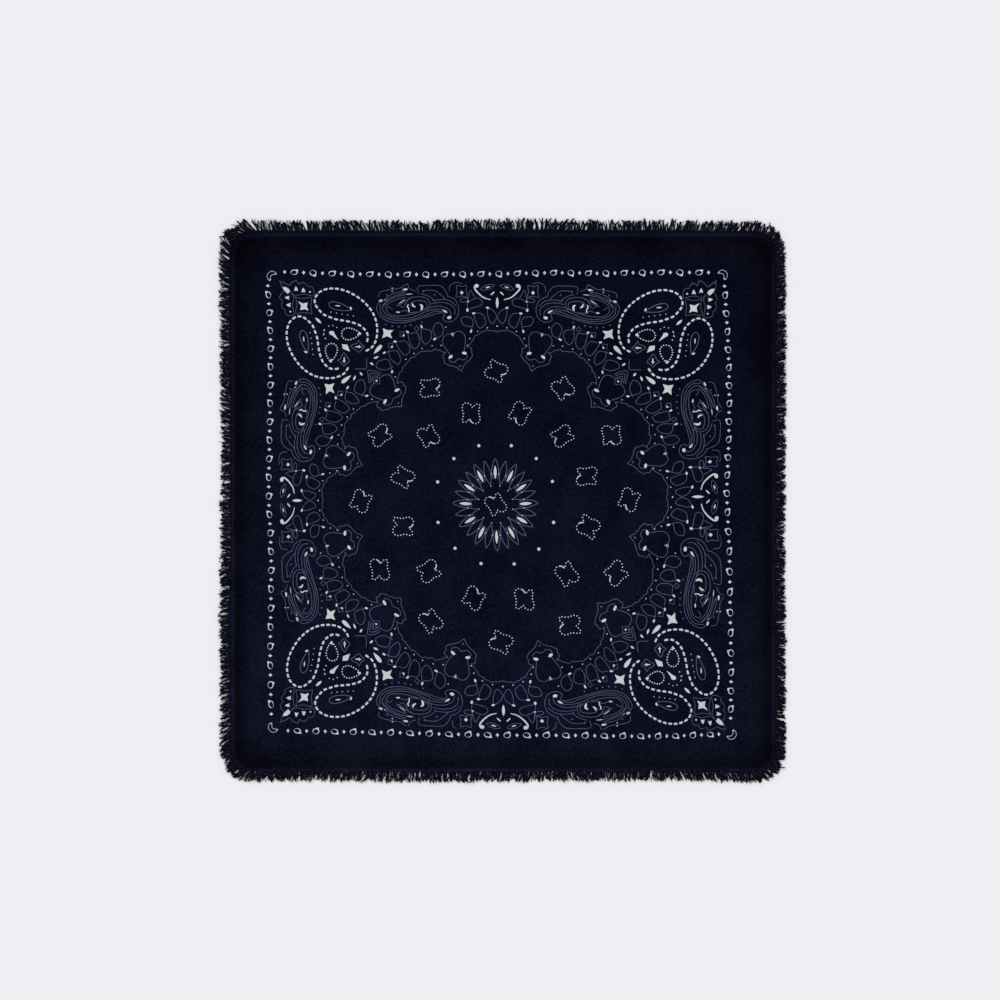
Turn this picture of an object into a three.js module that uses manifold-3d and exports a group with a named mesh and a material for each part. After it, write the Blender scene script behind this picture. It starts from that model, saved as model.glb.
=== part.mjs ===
// A square bandana of thin felted wool, laid out flat: one woven square with a soft raised rim along its
// locking seam, and the frayed ends of its own yarns standing out as a short fringe on all four sides.
// Millimetres, +Z up. The cloth lies on the plane z = 0, +Y is the upper edge of the print, and the origin
// is the middle of the outline on that plane.

import * as THREE from "three";
import { mergeVertices } from "three/addons/utils/BufferGeometryUtils.js";
import Module from "manifold-3d";

// Driving sizes of the woven square
const CLOTH_X = 535;
const CLOTH_Y = 530;
const CORNER_R = 22;
const FIELD_T = 1.5;

// Stations round the edge, per side: a side runs from the middle of one corner to the middle of the next
const STRAIGHT_STEPS = 24;
const HALF_CORNER_STEPS = 4;
const HALF_CORNER = Math.PI / 4;

// The frayed yarns, gathered into locks
const SEAM_GAP = 0.3;
const STRIP_W = 1.2;
const STRIP_LOW = 0.25;
const STRIP_HIGH = 1.15;
const LOCKS_PER_SIDE = 62;
const LOCK_LENGTH = 9.0;
const LOCK_LENGTH_SWING = 1.3;
const LOCK_FAN = THREE.MathUtils.degToRad(15);
const LOCK_LEAN = THREE.MathUtils.degToRad(11);
const LOCK_LOWEST = 0.22;

const CLOTH_COLOUR = 0x0d1020;
const FRINGE_COLOUR = 0x101119;

const SIDES = [
  { name: "fringe_right", turn: 0, half: CLOTH_X / 2, run: CLOTH_Y, phase: 0.3 },
  { name: "fringe_back", turn: 1, half: CLOTH_Y / 2, run: CLOTH_X, phase: 1.9 },
  { name: "fringe_left", turn: 2, half: CLOTH_X / 2, run: CLOTH_Y, phase: 3.1 },
  { name: "fringe_front", turn: 3, half: CLOTH_Y / 2, run: CLOTH_X, phase: 4.6 },
];

// The rim from the edge inwards: how far in, and how high the top of the cloth is there
const RIM = [
  { inset: 0.0, height: 0.45 },
  { inset: 0.0, height: 1.05 },
  { inset: 1.1, height: 1.75 },
  { inset: 3.4, height: 2.25 },
  { inset: 5.2, height: 1.85 },
  { inset: 6.3, height: 1.3 },
  { inset: 8.0, height: 1.45 },
  { inset: 12.0, height: FIELD_T },
  { inset: 19.0, height: FIELD_T },
];
const UNDERSIDE_INSET = 0.6;

// The flat middle: rings that close in on the centre, as shares of the innermost rim ring
const FIELD_SHARES = [0.88, 0.75, 0.61, 0.47, 0.33, 0.19, 0.07];

// Soft swells of cloth that isn't pressed: centre, direction, length, width and height
const SWELLS = [
  { x: -172, y: 168, turn: 40, long: 230, wide: 46, rise: 0.55 },
  { x: 150, y: 196, turn: -18, long: 260, wide: 38, rise: 0.45 },
  { x: 205, y: -20, turn: 82, long: 300, wide: 40, rise: 0.5 },
  { x: 20, y: 30, turn: 28, long: 220, wide: 60, rise: 0.35 },
  { x: -210, y: -60, turn: 96, long: 280, wide: 42, rise: 0.5 },
  { x: -70, y: -200, turn: 8, long: 320, wide: 44, rise: 0.6 },
  { x: 170, y: -190, turn: -50, long: 200, wide: 40, rise: 0.45 },
];

const SWELL_AT_RIM = 0.4;

// How far the edge wanders from a straight line, as waves round the whole square
const EDGE_WAVES = [
  { waves: 6, sway: 0.55, phase: 0.7 },
  { waves: 13, sway: 0.3, phase: 2.4 },
];

// Repeatable scatter between -1 and 1 for lock number n
function scatter(n, kind) {
  const s = Math.sin(n * 12.9898 + kind * 78.233) * 43758.5453;
  return 2 * (s - Math.floor(s)) - 1;
}

function sideLength(side) {
  return side.run - 2 * CORNER_R + 2 * HALF_CORNER * CORNER_R;
}

// The edge at a distance along a side, moved outwards by offset: its point and its outward angle
function edgeAt(side, along, offset) {
  const arc = HALF_CORNER * CORNER_R;
  const straight = side.run - 2 * CORNER_R;
  const base = (side.turn * Math.PI) / 2;
  const lead = THREE.MathUtils.clamp(along / arc, 0, 1) - 1;
  const trail = THREE.MathUtils.clamp((along - arc - straight) / arc, 0, 1);
  const bend = HALF_CORNER * (lead + trail);
  const slide = THREE.MathUtils.clamp(along - arc, 0, straight) - straight / 2;
  const share = (side.turn + along / sideLength(side)) / SIDES.length;
  const sways = EDGE_WAVES.map((wave) => wave.sway * Math.sin(2 * Math.PI * wave.waves * share + wave.phase));
  const reach = CORNER_R + offset + sways[0] + sways[1];
  const out = side.half - CORNER_R + reach * Math.cos(bend);
  const across = slide + reach * Math.sin(bend);
  return {
    x: out * Math.cos(base) - across * Math.sin(base),
    y: out * Math.sin(base) + across * Math.cos(base),
    angle: base + bend,
  };
}

// Distances along a side where the stations stand
function stations(side) {
  const arc = HALF_CORNER * CORNER_R;
  const straight = side.run - 2 * CORNER_R;
  const found = [];
  for (let i = 0; i < HALF_CORNER_STEPS; i++) found.push((arc * i) / HALF_CORNER_STEPS);
  for (let i = 0; i < STRAIGHT_STEPS; i++) found.push(arc + (straight * i) / STRAIGHT_STEPS);
  for (let i = 0; i < HALF_CORNER_STEPS; i++) found.push(arc + straight + (arc * i) / HALF_CORNER_STEPS);
  return found;
}

function swell(x, y) {
  return SWELLS.reduce((sum, s) => {
    const turn = THREE.MathUtils.degToRad(s.turn);
    const dx = x - s.x;
    const dy = y - s.y;
    const along = (dx * Math.cos(turn) + dy * Math.sin(turn)) / (s.long / 2);
    const across = (dy * Math.cos(turn) - dx * Math.sin(turn)) / (s.wide / 2);
    return sum + s.rise * Math.exp(-along * along - across * across);
  }, 0);
}

// A closed surface through rings of the same number of points, with a fan over each end
function loft(rings) {
  const n = rings[0].length;
  const points = rings.flat();
  const faces = [];
  for (let r = 0; r + 1 < rings.length; r++)
    for (let i = 0; i < n; i++) {
      const a = r * n + i;
      const b = r * n + ((i + 1) % n);
      faces.push(a, b, b + n, a, b + n, a + n);
    }
  const ends = [
    { ring: rings[0], first: 0, flip: true },
    { ring: rings[rings.length - 1], first: (rings.length - 1) * n, flip: false },
  ];
  for (const end of ends) {
    const hub = points.length;
    points.push(end.ring.reduce((sum, p) => sum.add(p), new THREE.Vector3()).divideScalar(n));
    for (let i = 0; i < n; i++) {
      const a = end.first + i;
      const b = end.first + ((i + 1) % n);
      faces.push(...(end.flip ? [b, a, hub] : [a, b, hub]));
    }
  }
  const geometry = new THREE.BufferGeometry().setFromPoints(points);
  geometry.setIndex(faces);
  return geometry;
}

// One ring of the cloth, inset from the edge, at the height that lift(x, y) gives
function clothRing(inset, lift) {
  return SIDES.flatMap((side) =>
    stations(side).map((along) => {
      const p = edgeAt(side, along, -inset);
      return new THREE.Vector3(p.x, p.y, lift(p.x, p.y));
    }),
  );
}

function clothSquare() {
  const underside = clothRing(UNDERSIDE_INSET, () => 0);
  const rim = RIM.map((row) => {
    const share = row.inset > 0 ? SWELL_AT_RIM : 0;
    return clothRing(row.inset, (x, y) => row.height + share * swell(x, y));
  });
  const inner = rim[rim.length - 1];
  const field = FIELD_SHARES.map((share) =>
    inner.map((p) => new THREE.Vector3(p.x * share, p.y * share, FIELD_T + swell(p.x * share, p.y * share))),
  );
  return loft([underside, ...rim, ...field]);
}

// The bound roots of a side's fringe: a narrow strip just outside the edge
function rootStrip(side) {
  const inner = SEAM_GAP;
  const outer = SEAM_GAP + STRIP_W;
  const ends = [SEAM_GAP / 2, sideLength(side) - SEAM_GAP / 2];
  const places = [ends[0], ...stations(side).slice(1), ends[1]];
  const rings = places.map((along) => {
    const a = edgeAt(side, along, inner);
    const b = edgeAt(side, along, outer);
    return [
      new THREE.Vector3(a.x, a.y, STRIP_LOW),
      new THREE.Vector3(a.x, a.y, STRIP_HIGH),
      new THREE.Vector3(b.x, b.y, STRIP_HIGH),
      new THREE.Vector3(b.x, b.y, STRIP_LOW),
    ];
  });
  return loft(rings);
}

// One lock of yarn ends: flat, four-sided, leaning, and narrower and thinner towards its tip
function lock(side, number) {
  const pitch = sideLength(side) / LOCKS_PER_SIDE;
  const along = (number + 0.5) * pitch;
  const root = edgeAt(side, along, SEAM_GAP + STRIP_W / 2);
  const seed = number + 100 * side.turn;
  const place = (2 * (number + 0.5)) / LOCKS_PER_SIDE - 1;
  const combed = 0.55 * Math.sin(number * 0.61 + side.phase) + 0.45 * scatter(seed, 1);
  const lean = LOCK_FAN * place ** 3 + LOCK_LEAN * combed;
  const length = STRIP_W / 2 + LOCK_LENGTH + LOCK_LENGTH_SWING * scatter(seed, 2);
  const tipRise = 0.35 + 0.35 * scatter(seed, 3);
  const sections = [
    { at: 0.0, width: 0.84 * pitch, thick: 0.84, bow: 0.0 },
    { at: 0.55, width: 0.66 * pitch, thick: 0.7, bow: 0.35 },
    { at: 1.0, width: 0.34 * pitch, thick: 0.4, bow: 1.0 },
  ];
  const heading = root.angle + lean;
  const rings = sections.map((section) => {
    const reach = length * section.at;
    const centre = {
      x: root.x + reach * Math.cos(heading),
      y: root.y + reach * Math.sin(heading),
      z: Math.max(LOCK_LOWEST + section.thick / 2, 0.7 + tipRise * section.bow),
    };
    const corner = (sideways, up) =>
      new THREE.Vector3(
        centre.x - (sideways * section.width * Math.sin(root.angle)) / 2,
        centre.y + (sideways * section.width * Math.cos(root.angle)) / 2,
        centre.z + (up * section.thick) / 2,
      );
    return [corner(-1, -1), corner(1, -1), corner(1, 1), corner(-1, 1)];
  });
  return loft(rings);
}

const wasm = await Module();
wasm.setup();

// A closed geometry as a solid that can be joined, whichever way its faces were wound
function solidOf(geometry) {
  const merged = mergeVertices(geometry, 1e-4);
  const vertProperties = merged.attributes.position.array;
  const build = (triVerts) => new wasm.Manifold(new wasm.Mesh({ numProp: 3, vertProperties, triVerts }));
  const triVerts = new Uint32Array(merged.index.array);
  const solid = build(triVerts);
  return solid.volume() > 0 ? solid : build(triVerts.slice().reverse());
}

function geometryOf(solid) {
  const mesh = solid.getMesh();
  const places = new Float32Array(mesh.vertProperties);
  const geometry = new THREE.BufferGeometry();
  geometry.setAttribute("position", new THREE.BufferAttribute(places, mesh.numProp));
  geometry.setIndex(new THREE.BufferAttribute(new Uint32Array(mesh.triVerts), 1));
  geometry.computeVertexNormals();
  return geometry;
}

function fringe(side) {
  let joined = solidOf(rootStrip(side));
  for (let number = 0; number < LOCKS_PER_SIDE; number++) joined = joined.add(solidOf(lock(side, number)));
  return geometryOf(joined);
}

const clothMaterial = new THREE.MeshStandardMaterial({ color: CLOTH_COLOUR, roughness: 0.95, metalness: 0 });
const fringeMaterial = new THREE.MeshStandardMaterial({ color: FRINGE_COLOUR, roughness: 1, metalness: 0 });

const bandana = new THREE.Group();

const cloth = new THREE.Mesh(geometryOf(solidOf(clothSquare())), clothMaterial);
cloth.name = "cloth_square";
bandana.add(cloth);

for (const side of SIDES) {
  const mesh = new THREE.Mesh(fringe(side), fringeMaterial);
  mesh.name = side.name;
  bandana.add(mesh);
}

// The origin is the middle of the outline, fringe included
const outline = new THREE.Box3().setFromObject(bandana, true);
const middle = outline.getCenter(new THREE.Vector3());
bandana.position.set(-middle.x, -middle.y, 0);

export default bandana;
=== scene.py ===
# %% [markdown]
# A square bandana of thin felted wool, laid out flat and seen from straight above.
# The CAD frame gives the woven square, 535 by 530 mm, and four fringes of its own frayed yarns. This scene
# keeps their places and sizes, and gives the cloth its nap, its printed motifs, its locking seam and every
# single yarn. A print can be an image texture, but an image has a fixed sharpness. Here each motif is drawn
# as an outline and cut into the mesh of the cloth itself, so the print stays crisp at any distance and lies
# flush in the wool.

# %% The frame and the CAD box
import math

import bpy
import numpy as np
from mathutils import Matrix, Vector
from mathutils.bvhtree import BVHTree
from mathutils.geometry import delaunay_2d_cdt


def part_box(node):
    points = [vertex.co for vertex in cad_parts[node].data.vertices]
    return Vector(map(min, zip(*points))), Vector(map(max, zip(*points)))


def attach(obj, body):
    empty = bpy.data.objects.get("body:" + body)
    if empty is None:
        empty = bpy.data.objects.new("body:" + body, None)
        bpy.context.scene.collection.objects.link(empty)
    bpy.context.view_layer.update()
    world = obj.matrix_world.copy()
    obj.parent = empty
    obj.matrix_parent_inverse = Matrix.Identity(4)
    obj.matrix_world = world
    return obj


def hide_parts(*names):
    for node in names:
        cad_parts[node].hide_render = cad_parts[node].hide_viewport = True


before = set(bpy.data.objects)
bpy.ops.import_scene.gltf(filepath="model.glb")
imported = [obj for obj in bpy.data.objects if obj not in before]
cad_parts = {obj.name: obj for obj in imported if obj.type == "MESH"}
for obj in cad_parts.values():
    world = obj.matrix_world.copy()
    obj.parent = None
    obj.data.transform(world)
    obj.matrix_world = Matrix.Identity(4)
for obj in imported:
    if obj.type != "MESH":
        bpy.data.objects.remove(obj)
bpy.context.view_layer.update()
MM = 0.001

# %% [markdown]
# The camera looks straight down, as for a photograph of a cloth laid out on a table.
# A long lens from 2.3 m keeps the square free of perspective. An orthographic camera would do as well, but
# the lens keeps the small tilt that the fringe shows at the far edges.

# %% The camera
VIEW_WIDTH = 980.0
LENS = 85.0
SENSOR = 36.0
VIEW_CENTRE = (-2.84, 0.78)

scene = bpy.context.scene
optics = bpy.data.cameras.new("camera")
optics.lens = LENS
optics.sensor_width = SENSOR
optics.clip_end = 50.0
camera = bpy.data.objects.new("camera", optics)
scene.collection.objects.link(camera)
camera_height = VIEW_WIDTH * LENS / SENSOR
camera.location = (VIEW_CENTRE[0] * MM, VIEW_CENTRE[1] * MM, camera_height * MM)
scene.camera = camera
scene.view_settings.view_transform = "Standard"
print("camera height in mm:", round(camera_height))

# %% [markdown]
# A plain pale floor and soft studio light.
# Most of the light comes evenly from all round, as in a light tent, so the dark cloth hardly throws a shadow.
# One broad lamp from the side adds the little direction that makes the folds and the raised rim readable.

# %% The floor and the light
FLOOR_DROP = 0.1
FLOOR_COLOUR = (0.874, 0.879, 0.914)
SKY_STRENGTH = 0.78
LAMP_STRENGTH = 0.95
LAMP_SOFTNESS = math.radians(30)
LAMP_TILT = (math.radians(48), 0.0, math.radians(205))


def new_mesh_object(name, verts, faces, edges=()):
    """A mesh object at the origin, from points in metres."""
    mesh = bpy.data.meshes.new(name)
    mesh.from_pydata(verts, edges, faces)
    mesh.update()
    made = bpy.data.objects.new(name, mesh)
    scene.collection.objects.link(made)
    return made


def new_material(name, colour, roughness):
    """A material and its Principled shader, with the plain settings on the shader's own sockets."""
    made = bpy.data.materials.new(name)
    made.use_nodes = True
    shader = made.node_tree.nodes["Principled BSDF"]
    shader.inputs["Base Color"].default_value = (*colour, 1.0)
    shader.inputs["Roughness"].default_value = roughness
    return made, shader


FLOOR_HALF = 4.0
floor = new_mesh_object(
    "floor",
    [(x * FLOOR_HALF, y * FLOOR_HALF, -FLOOR_DROP * MM) for x, y in ((-1, -1), (1, -1), (1, 1), (-1, 1))],
    [(0, 1, 2, 3)],
)
paper, paper_shader = new_material("floor_paper", FLOOR_COLOUR, 1.0)
paper_shader.inputs["Specular IOR Level"].default_value = 0.0
floor.data.materials.append(paper)

sky = bpy.data.worlds.new("studio")
sky.use_nodes = True
sky.node_tree.nodes["Background"].inputs["Strength"].default_value = SKY_STRENGTH
sky.node_tree.nodes["Background"].inputs["Color"].default_value = (1.0, 1.0, 1.0, 1.0)
scene.world = sky

sun = bpy.data.lights.new("broad_lamp", "SUN")
sun.energy = LAMP_STRENGTH
sun.angle = LAMP_SOFTNESS
lamp = bpy.data.objects.new("broad_lamp", sun)
lamp.rotation_euler = LAMP_TILT
scene.collection.objects.link(lamp)
print("floor, sky and lamp are set")

# %% [markdown]
# The woven square repeats the sizes of its CAD solid, because its look has to lie on that solid.
# Every place on the cloth is worked out by two rules: where the edge runs, and how high the top lies at a
# distance in from that edge. Points on the plane are complex numbers, so a turn is one multiplication.

# %% Sizes of the woven square, in mm
CLOTH_X = 535.0
CLOTH_Y = 530.0
CORNER_R = 22.0
FIELD_T = 1.5
HALF_CORNER = math.pi / 4
EDGE_WAVES = ((6, 0.55, 0.7), (13, 0.3, 2.4))
RIM_INSETS = (0.0, 1.1, 3.4, 5.2, 6.3, 8.0, 12.0, 19.0)
RIM_HEIGHTS = (1.05, 1.75, 2.25, 1.85, 1.3, 1.45, FIELD_T, FIELD_T)
WALL_FOOT = 0.45
UNDERSIDE_INSET = 0.6
SWELL_AT_RIM = 0.4
# each swell: x, y, turn in degrees, length, width and rise
SWELLS = (
    (-172, 168, 40, 230, 46, 0.55),
    (150, 196, -18, 260, 38, 0.45),
    (205, -20, 82, 300, 40, 0.5),
    (20, 30, 28, 220, 60, 0.35),
    (-210, -60, 96, 280, 42, 0.5),
    (-70, -200, 8, 320, 44, 0.6),
    (170, -190, -50, 200, 40, 0.45),
)


def half_and_run(turn):
    """How far a side lies from the middle, and how long it is."""
    return (CLOTH_X / 2, CLOTH_Y) if turn % 2 == 0 else (CLOTH_Y / 2, CLOTH_X)


def side_length(turn):
    return half_and_run(turn)[1] - 2 * CORNER_R + 2 * HALF_CORNER * CORNER_R


def sway(share):
    """How far the edge wanders from a straight line at a share of the way round the square."""
    return sum(size * np.sin(2 * math.pi * waves * share + phase) for waves, size, phase in EDGE_WAVES)


def edge_at(turn, along, offset):
    """The edge at a distance along a side, moved outwards by offset: its point and its outward angle."""
    half, run = half_and_run(turn)
    arc = HALF_CORNER * CORNER_R
    straight = run - 2 * CORNER_R
    lead = np.clip(along / arc, 0, 1) - 1
    trail = np.clip((along - arc - straight) / arc, 0, 1)
    bend = HALF_CORNER * (lead + trail)
    slide = np.clip(along - arc, 0, straight) - straight / 2
    reach = CORNER_R + offset + sway((turn + along / side_length(turn)) / 4)
    base = turn * math.pi / 2
    point = half - CORNER_R + reach * np.cos(bend) + 1j * (slide + reach * np.sin(bend))
    return point * np.exp(1j * base), base + bend


print("edge of a side in mm:", round(side_length(0), 1), "and", round(side_length(1), 1))

# %% Where the cloth lies in the frame
CORNER_STATIONS = 10
STRAIGHT_STATIONS = 150


def stations(turn):
    """Distances along a side, close together round its corners."""
    arc = HALF_CORNER * CORNER_R
    end = side_length(turn)
    first = np.linspace(0, arc, CORNER_STATIONS, endpoint=False)
    middle = np.linspace(arc, end - arc, STRAIGHT_STATIONS, endpoint=False)
    last = np.linspace(end - arc, end, CORNER_STATIONS, endpoint=False)
    return np.concatenate([first, middle, last])


def ring(inset):
    """One closed ring of points round the cloth, inset from its edge."""
    return np.concatenate([edge_at(turn, stations(turn), -inset)[0] for turn in range(4)])


low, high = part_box("cloth_square")
outline = ring(0.0)
cloth_middle = complex(low[0] + high[0], low[1] + high[1]) / 2 / MM
outline_middle = complex(outline.real.min() + outline.real.max(), outline.imag.min() + outline.imag.max()) / 2
SHIFT = cloth_middle - outline_middle
print("cloth moved from the edge rule by", SHIFT, "width by the rule", round(np.ptp(outline.real), 2))
print("width in the frame", round((high[0] - low[0]) / MM, 2))

# %% [markdown]
# The height of the top follows the CAD solid: a soft rim, the groove of the locking seam, and then the flat
# field with its broad swells. The CAD joins a few rings by straight facets. Here a smooth curve through the
# same heights takes their place, and the seam thread draws in the rim a little at every few stitches.

# %% The height of the cloth
PUCKER_PITCH = 8.5
PUCKER_DEPTH = 0.07
PUCKER_AT = 6.0
PUCKER_WIDTH = 3.2
FIELD_FROM = 19.0
FIELD_FULL = 50.0


def inset_of(z):
    """How far in from the woven edge the points lie, and their share of the way round."""
    inset = np.full(z.shape, 1e9)
    share = np.zeros(z.shape)
    for turn in range(4):
        half, run = half_and_run(turn)
        local = (z - SHIFT) * np.exp(-0.5j * math.pi * turn)
        straight = run - 2 * CORNER_R
        slide = np.clip(local.imag, -straight / 2, straight / 2)
        out = local.real - (half - CORNER_R)
        across = local.imag - slide
        cornered = (np.abs(across) > 0) & (out > 0)
        reach = np.where(cornered, np.hypot(out, across), out)
        bend = np.where(cornered, np.arctan2(across, np.maximum(out, 1e-6)), 0.0)
        along = side_length(turn) / 2 + slide + np.clip(bend, -HALF_CORNER, HALF_CORNER) * CORNER_R
        part = (turn + along / side_length(turn)) / 4
        found = CORNER_R + sway(part) - reach
        nearer = found < inset
        inset = np.where(nearer, found, inset)
        share = np.where(nearer, part, share)
    return inset, share

# %% A smooth curve through a few heights
def smooth_table(at, places, values):
    """A smooth curve through a table: cubic pieces that take their slopes from the neighbours."""
    places, values = np.array(places), np.array(values)
    slopes = np.gradient(values, places)
    k = np.clip(np.searchsorted(places, at, side="right") - 1, 0, len(places) - 2)
    gap = places[k + 1] - places[k]
    t = np.clip((at - places[k]) / gap, 0, 1)
    start = (1 + 2 * t) * (1 - t) ** 2 * values[k] + t * (1 - t) ** 2 * gap * slopes[k]
    return start + t * t * (3 - 2 * t) * values[k + 1] + t * t * (t - 1) * gap * slopes[k + 1]


def swell(z):
    """How far the broad swells lift the cloth."""
    total = np.zeros(z.shape)
    for x, y, turn, long, wide, rise in SWELLS:
        local = (z - SHIFT - complex(x, y)) * np.exp(-1j * math.radians(turn))
        total += rise * np.exp(-((local.real / (long / 2)) ** 2) - (local.imag / (wide / 2)) ** 2)
    return total


def height(z):
    """The height of the top of the cloth above the floor."""
    inset, share = inset_of(z)
    edge_share = SWELL_AT_RIM * np.clip(inset / RIM_INSETS[1], 0, 1)
    inner = np.clip((inset - FIELD_FROM) / (FIELD_FULL - FIELD_FROM), 0, 1)
    swelling = swell(z) * (edge_share + (1 - SWELL_AT_RIM) * inner * inner * (3 - 2 * inner))
    perimeter = 2 * (side_length(0) + side_length(1))
    pucker = PUCKER_DEPTH * np.exp(-(((inset - PUCKER_AT) / PUCKER_WIDTH) ** 2))
    pucker *= np.sin(2 * math.pi * round(perimeter / PUCKER_PITCH) * share)
    return smooth_table(inset, RIM_INSETS, RIM_HEIGHTS) + swelling + pucker


print("height of the middle and of the rim in mm:", np.round(height(np.array([0j, 264.1 + 0j])), 2))

# %% [markdown]
# The motifs are drafted on a sheet that is ruled in steps of 0.98 mm, x to the right and y down from its
# corner. Only the upper left copy of each motif is drafted. The others are turned or mirrored from it, as a
# printer's screen is laid out. The cloth was never laid quite square, so the whole print leans by a step or
# two, and the middle of the field has drifted left. The soft cloth was also pulled out of true here and
# there, which a coarse table of five by five marks holds. All this is taken off the draft and put back after
# the mirroring.

# %% The drafting sheet
SHEET_STEP = 0.98
SHEET_MIDDLE = (499.5, 503.5)
PRINT_MIDDLE = complex(-3.33, -2.65)
STAR_REACH = 195.5
LEAN_X = {"all": 0.3, "up": -2.2, "twist": -1.4}
LEAN_Y = {"all": 0.3, "across": -1.3, "up": 1.4, "twist": 1.5}
DRIFT = {"size": -4.2, "level": 10.0, "reach": 110.0, "fade_from": 170.0, "fade_over": 45.0}
PULL_MARKS = np.linspace(-200, 200, 5)
PULL_WIDTH = 62.0
PULL_FADE = (218.0, 5.5)
PULL_RIGHT = ((-0.2, -2.9, 1.5, 8.9, 2.0), (-0.2, -3.8, -0.1, 3.9, 4.2), (-2.8, -1.7, 0.3, 0.1, 0.2),
              (-0.8, -0.4, -1.3, 0.3, 6.8), (0.9, 0.6, -0.1, 0.4, 1.5))
PULL_UP = ((2.0, -4.6, -7.8, -5.2, -0.7), (0.4, -0.4, -2.8, -4.8, 1.2), (1.3, 3.0, -1.9, 5.6, 9.0),
           (1.5, 1.1, -1.6, 1.2, 1.4), (-1.2, -1.2, 0.9, -2.4, -4.0))


def pull(z):
    """How far the soft cloth is pulled out of true, by a coarse table of five by five marks."""
    z = np.asarray(z)
    near = []
    for t in (z.real, z.imag):
        bells = np.exp(-(((t[..., None] - PULL_MARKS) / PULL_WIDTH) ** 2))
        near.append(bells / bells.sum(axis=-1, keepdims=True))
    fade = np.clip(1 - (np.maximum(np.abs(z.real), np.abs(z.imag)) - PULL_FADE[0]) / PULL_FADE[1], 0, 1)
    table = np.array(PULL_RIGHT) + 1j * np.array(PULL_UP)
    return fade * np.einsum("...i,...j,ji->...", near[0], near[1], table)


def slip(z):
    """How far the print at a place of the square draft lies from where it should."""
    u, v = z.real / STAR_REACH, z.imag / STAR_REACH
    fade = np.clip(1 - (np.abs(z.real) - DRIFT["fade_from"]) / DRIFT["fade_over"], 0, 1)
    drift = DRIFT["size"] * np.exp(-(((z.imag - DRIFT["level"]) / DRIFT["reach"]) ** 2)) * fade
    dx = LEAN_X["all"] + LEAN_X["up"] * v + LEAN_X["twist"] * u * v + drift
    dy = LEAN_Y["all"] + LEAN_Y["across"] * u + LEAN_Y["up"] * v + LEAN_Y["twist"] * u * v
    return dx + 1j * dy + pull(z)


def sheet(*places):
    """Places read on the drafting sheet, as points of the square draft round its middle."""
    z = np.array([complex(x - SHEET_MIDDLE[0], SHEET_MIDDLE[1] - y) for x, y in places])
    return z - slip(z)


def spot(x, y):
    return sheet((x, y))[0]


print("the upper left star of the draft is at", np.round(spot(303.4, 306.5), 1))

# %% [markdown]
# Four small drawing tools are enough for the whole print: a line with a width, a filled outline, a row of
# dashes and a row of dots. Each gives the closed loops of its ink, which the cloth is cut along, and the
# faces that the ink fills, which later tell wool from ink. Bold ink is an off-white. Pale ink is the same
# white in small marks, where more of the navy shows through. Fine ink is the thin grey lines.

# %% Smooth paths
def smooth(points, closed=False, pace=1.3):
    """A smooth path through the points, with a place about every pace."""
    n = len(points)
    path = []
    for k in range(n if closed else n - 1):
        p1, p2 = points[k], points[(k + 1) % n]
        p0 = points[k - 1] if closed or k > 0 else 2 * p1 - p2
        p3 = points[(k + 2) % n] if closed or k + 2 < n else 2 * p2 - p1
        steps = max(1, math.ceil(abs(p2 - p1) / pace))
        t = np.arange(steps) / steps
        path.extend(0.5 * (2 * p1 + (p2 - p0) * t + (2 * p0 - 5 * p1 + 4 * p2 - p3) * t**2
                           + (3 * p1 - p0 - 3 * p2 + p3) * t**3))
    if not closed:
        path.append(points[-1])
    return np.array(path)


def travel(path):
    """The distance along a path to each of its places."""
    return np.concatenate([[0.0], np.cumsum(np.abs(np.diff(path)))])


def place_on(path, distances):
    """The places at the given distances along a path."""
    run = travel(path)
    return np.interp(distances, run, path.real) + 1j * np.interp(distances, run, path.imag)


# %% The drawing tools
def line(ink, path, width, closed=False):
    """A line of ink. The width is one number, or several that it passes through on its way."""
    tangent = np.roll(path, -1) - np.roll(path, 1) if closed else np.gradient(path)
    widths = np.atleast_1d(width)
    half = np.interp(np.linspace(0, 1, len(path)), np.linspace(0, 1, len(widths)), widths) / 2
    sideways = 1j * tangent / np.maximum(np.abs(tangent), 1e-9) * half
    n = len(path)
    last = n if closed else n - 1
    faces = [(k, (k + 1) % n, n + (k + 1) % n, n + k) for k in range(last)]
    there, back = list(range(n)), list(range(2 * n - 1, n - 1, -1))
    loops = [there, back] if closed else [there + back]
    return [(ink, np.concatenate([path + sideways, path - sideways]), loops, faces)]


def filled(ink, outline):
    """A filled outline, as a fan round its middle."""
    n = len(outline)
    faces = [(k, (k + 1) % n, n) for k in range(n)]
    return [(ink, np.append(outline, outline.mean()), [list(range(n))], faces)]


def dashes(ink, path, length, width, pitch):
    """Short blocks of ink along a path, a pitch apart."""
    total = travel(path)[-1]
    count = max(1, round(total / pitch))
    shapes = []
    for k in range(count):
        middle = (k + 0.5) * total / count
        piece = place_on(path, np.linspace(middle - length / 2, middle + length / 2, 4))
        shapes += line(ink, piece, [0.82 * width, width, width, 0.82 * width])
    return shapes


def dots(ink, places, size):
    """Round dots at the given places."""
    circle = np.exp(2j * math.pi * np.arange(8) / 8) * size / 2
    return [shape for place in places for shape in filled(ink, place + circle)]


def dotted(ink, path, size, pitch):
    """Dots along a path, a pitch apart."""
    total = travel(path)[-1]
    return dots(ink, place_on(path, np.linspace(0, total, max(2, round(total / pitch) + 1))), size)


def rippled(path, size=0.8, pitch=6.4):
    """A path thrown into small scallops."""
    side = 1j * np.gradient(path)
    return path + side / np.abs(side) * size * (np.abs(np.sin(math.pi * travel(path) / pitch)) - 0.5)


# %% Outlines that the motifs share
def oval(at, length, width, turn=0.0, count=14):
    angle = 2 * math.pi * np.arange(count) / count
    return at + np.exp(1j * math.radians(turn)) * (length / 2 * np.cos(angle) + 0.5j * width * np.sin(angle))


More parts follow.
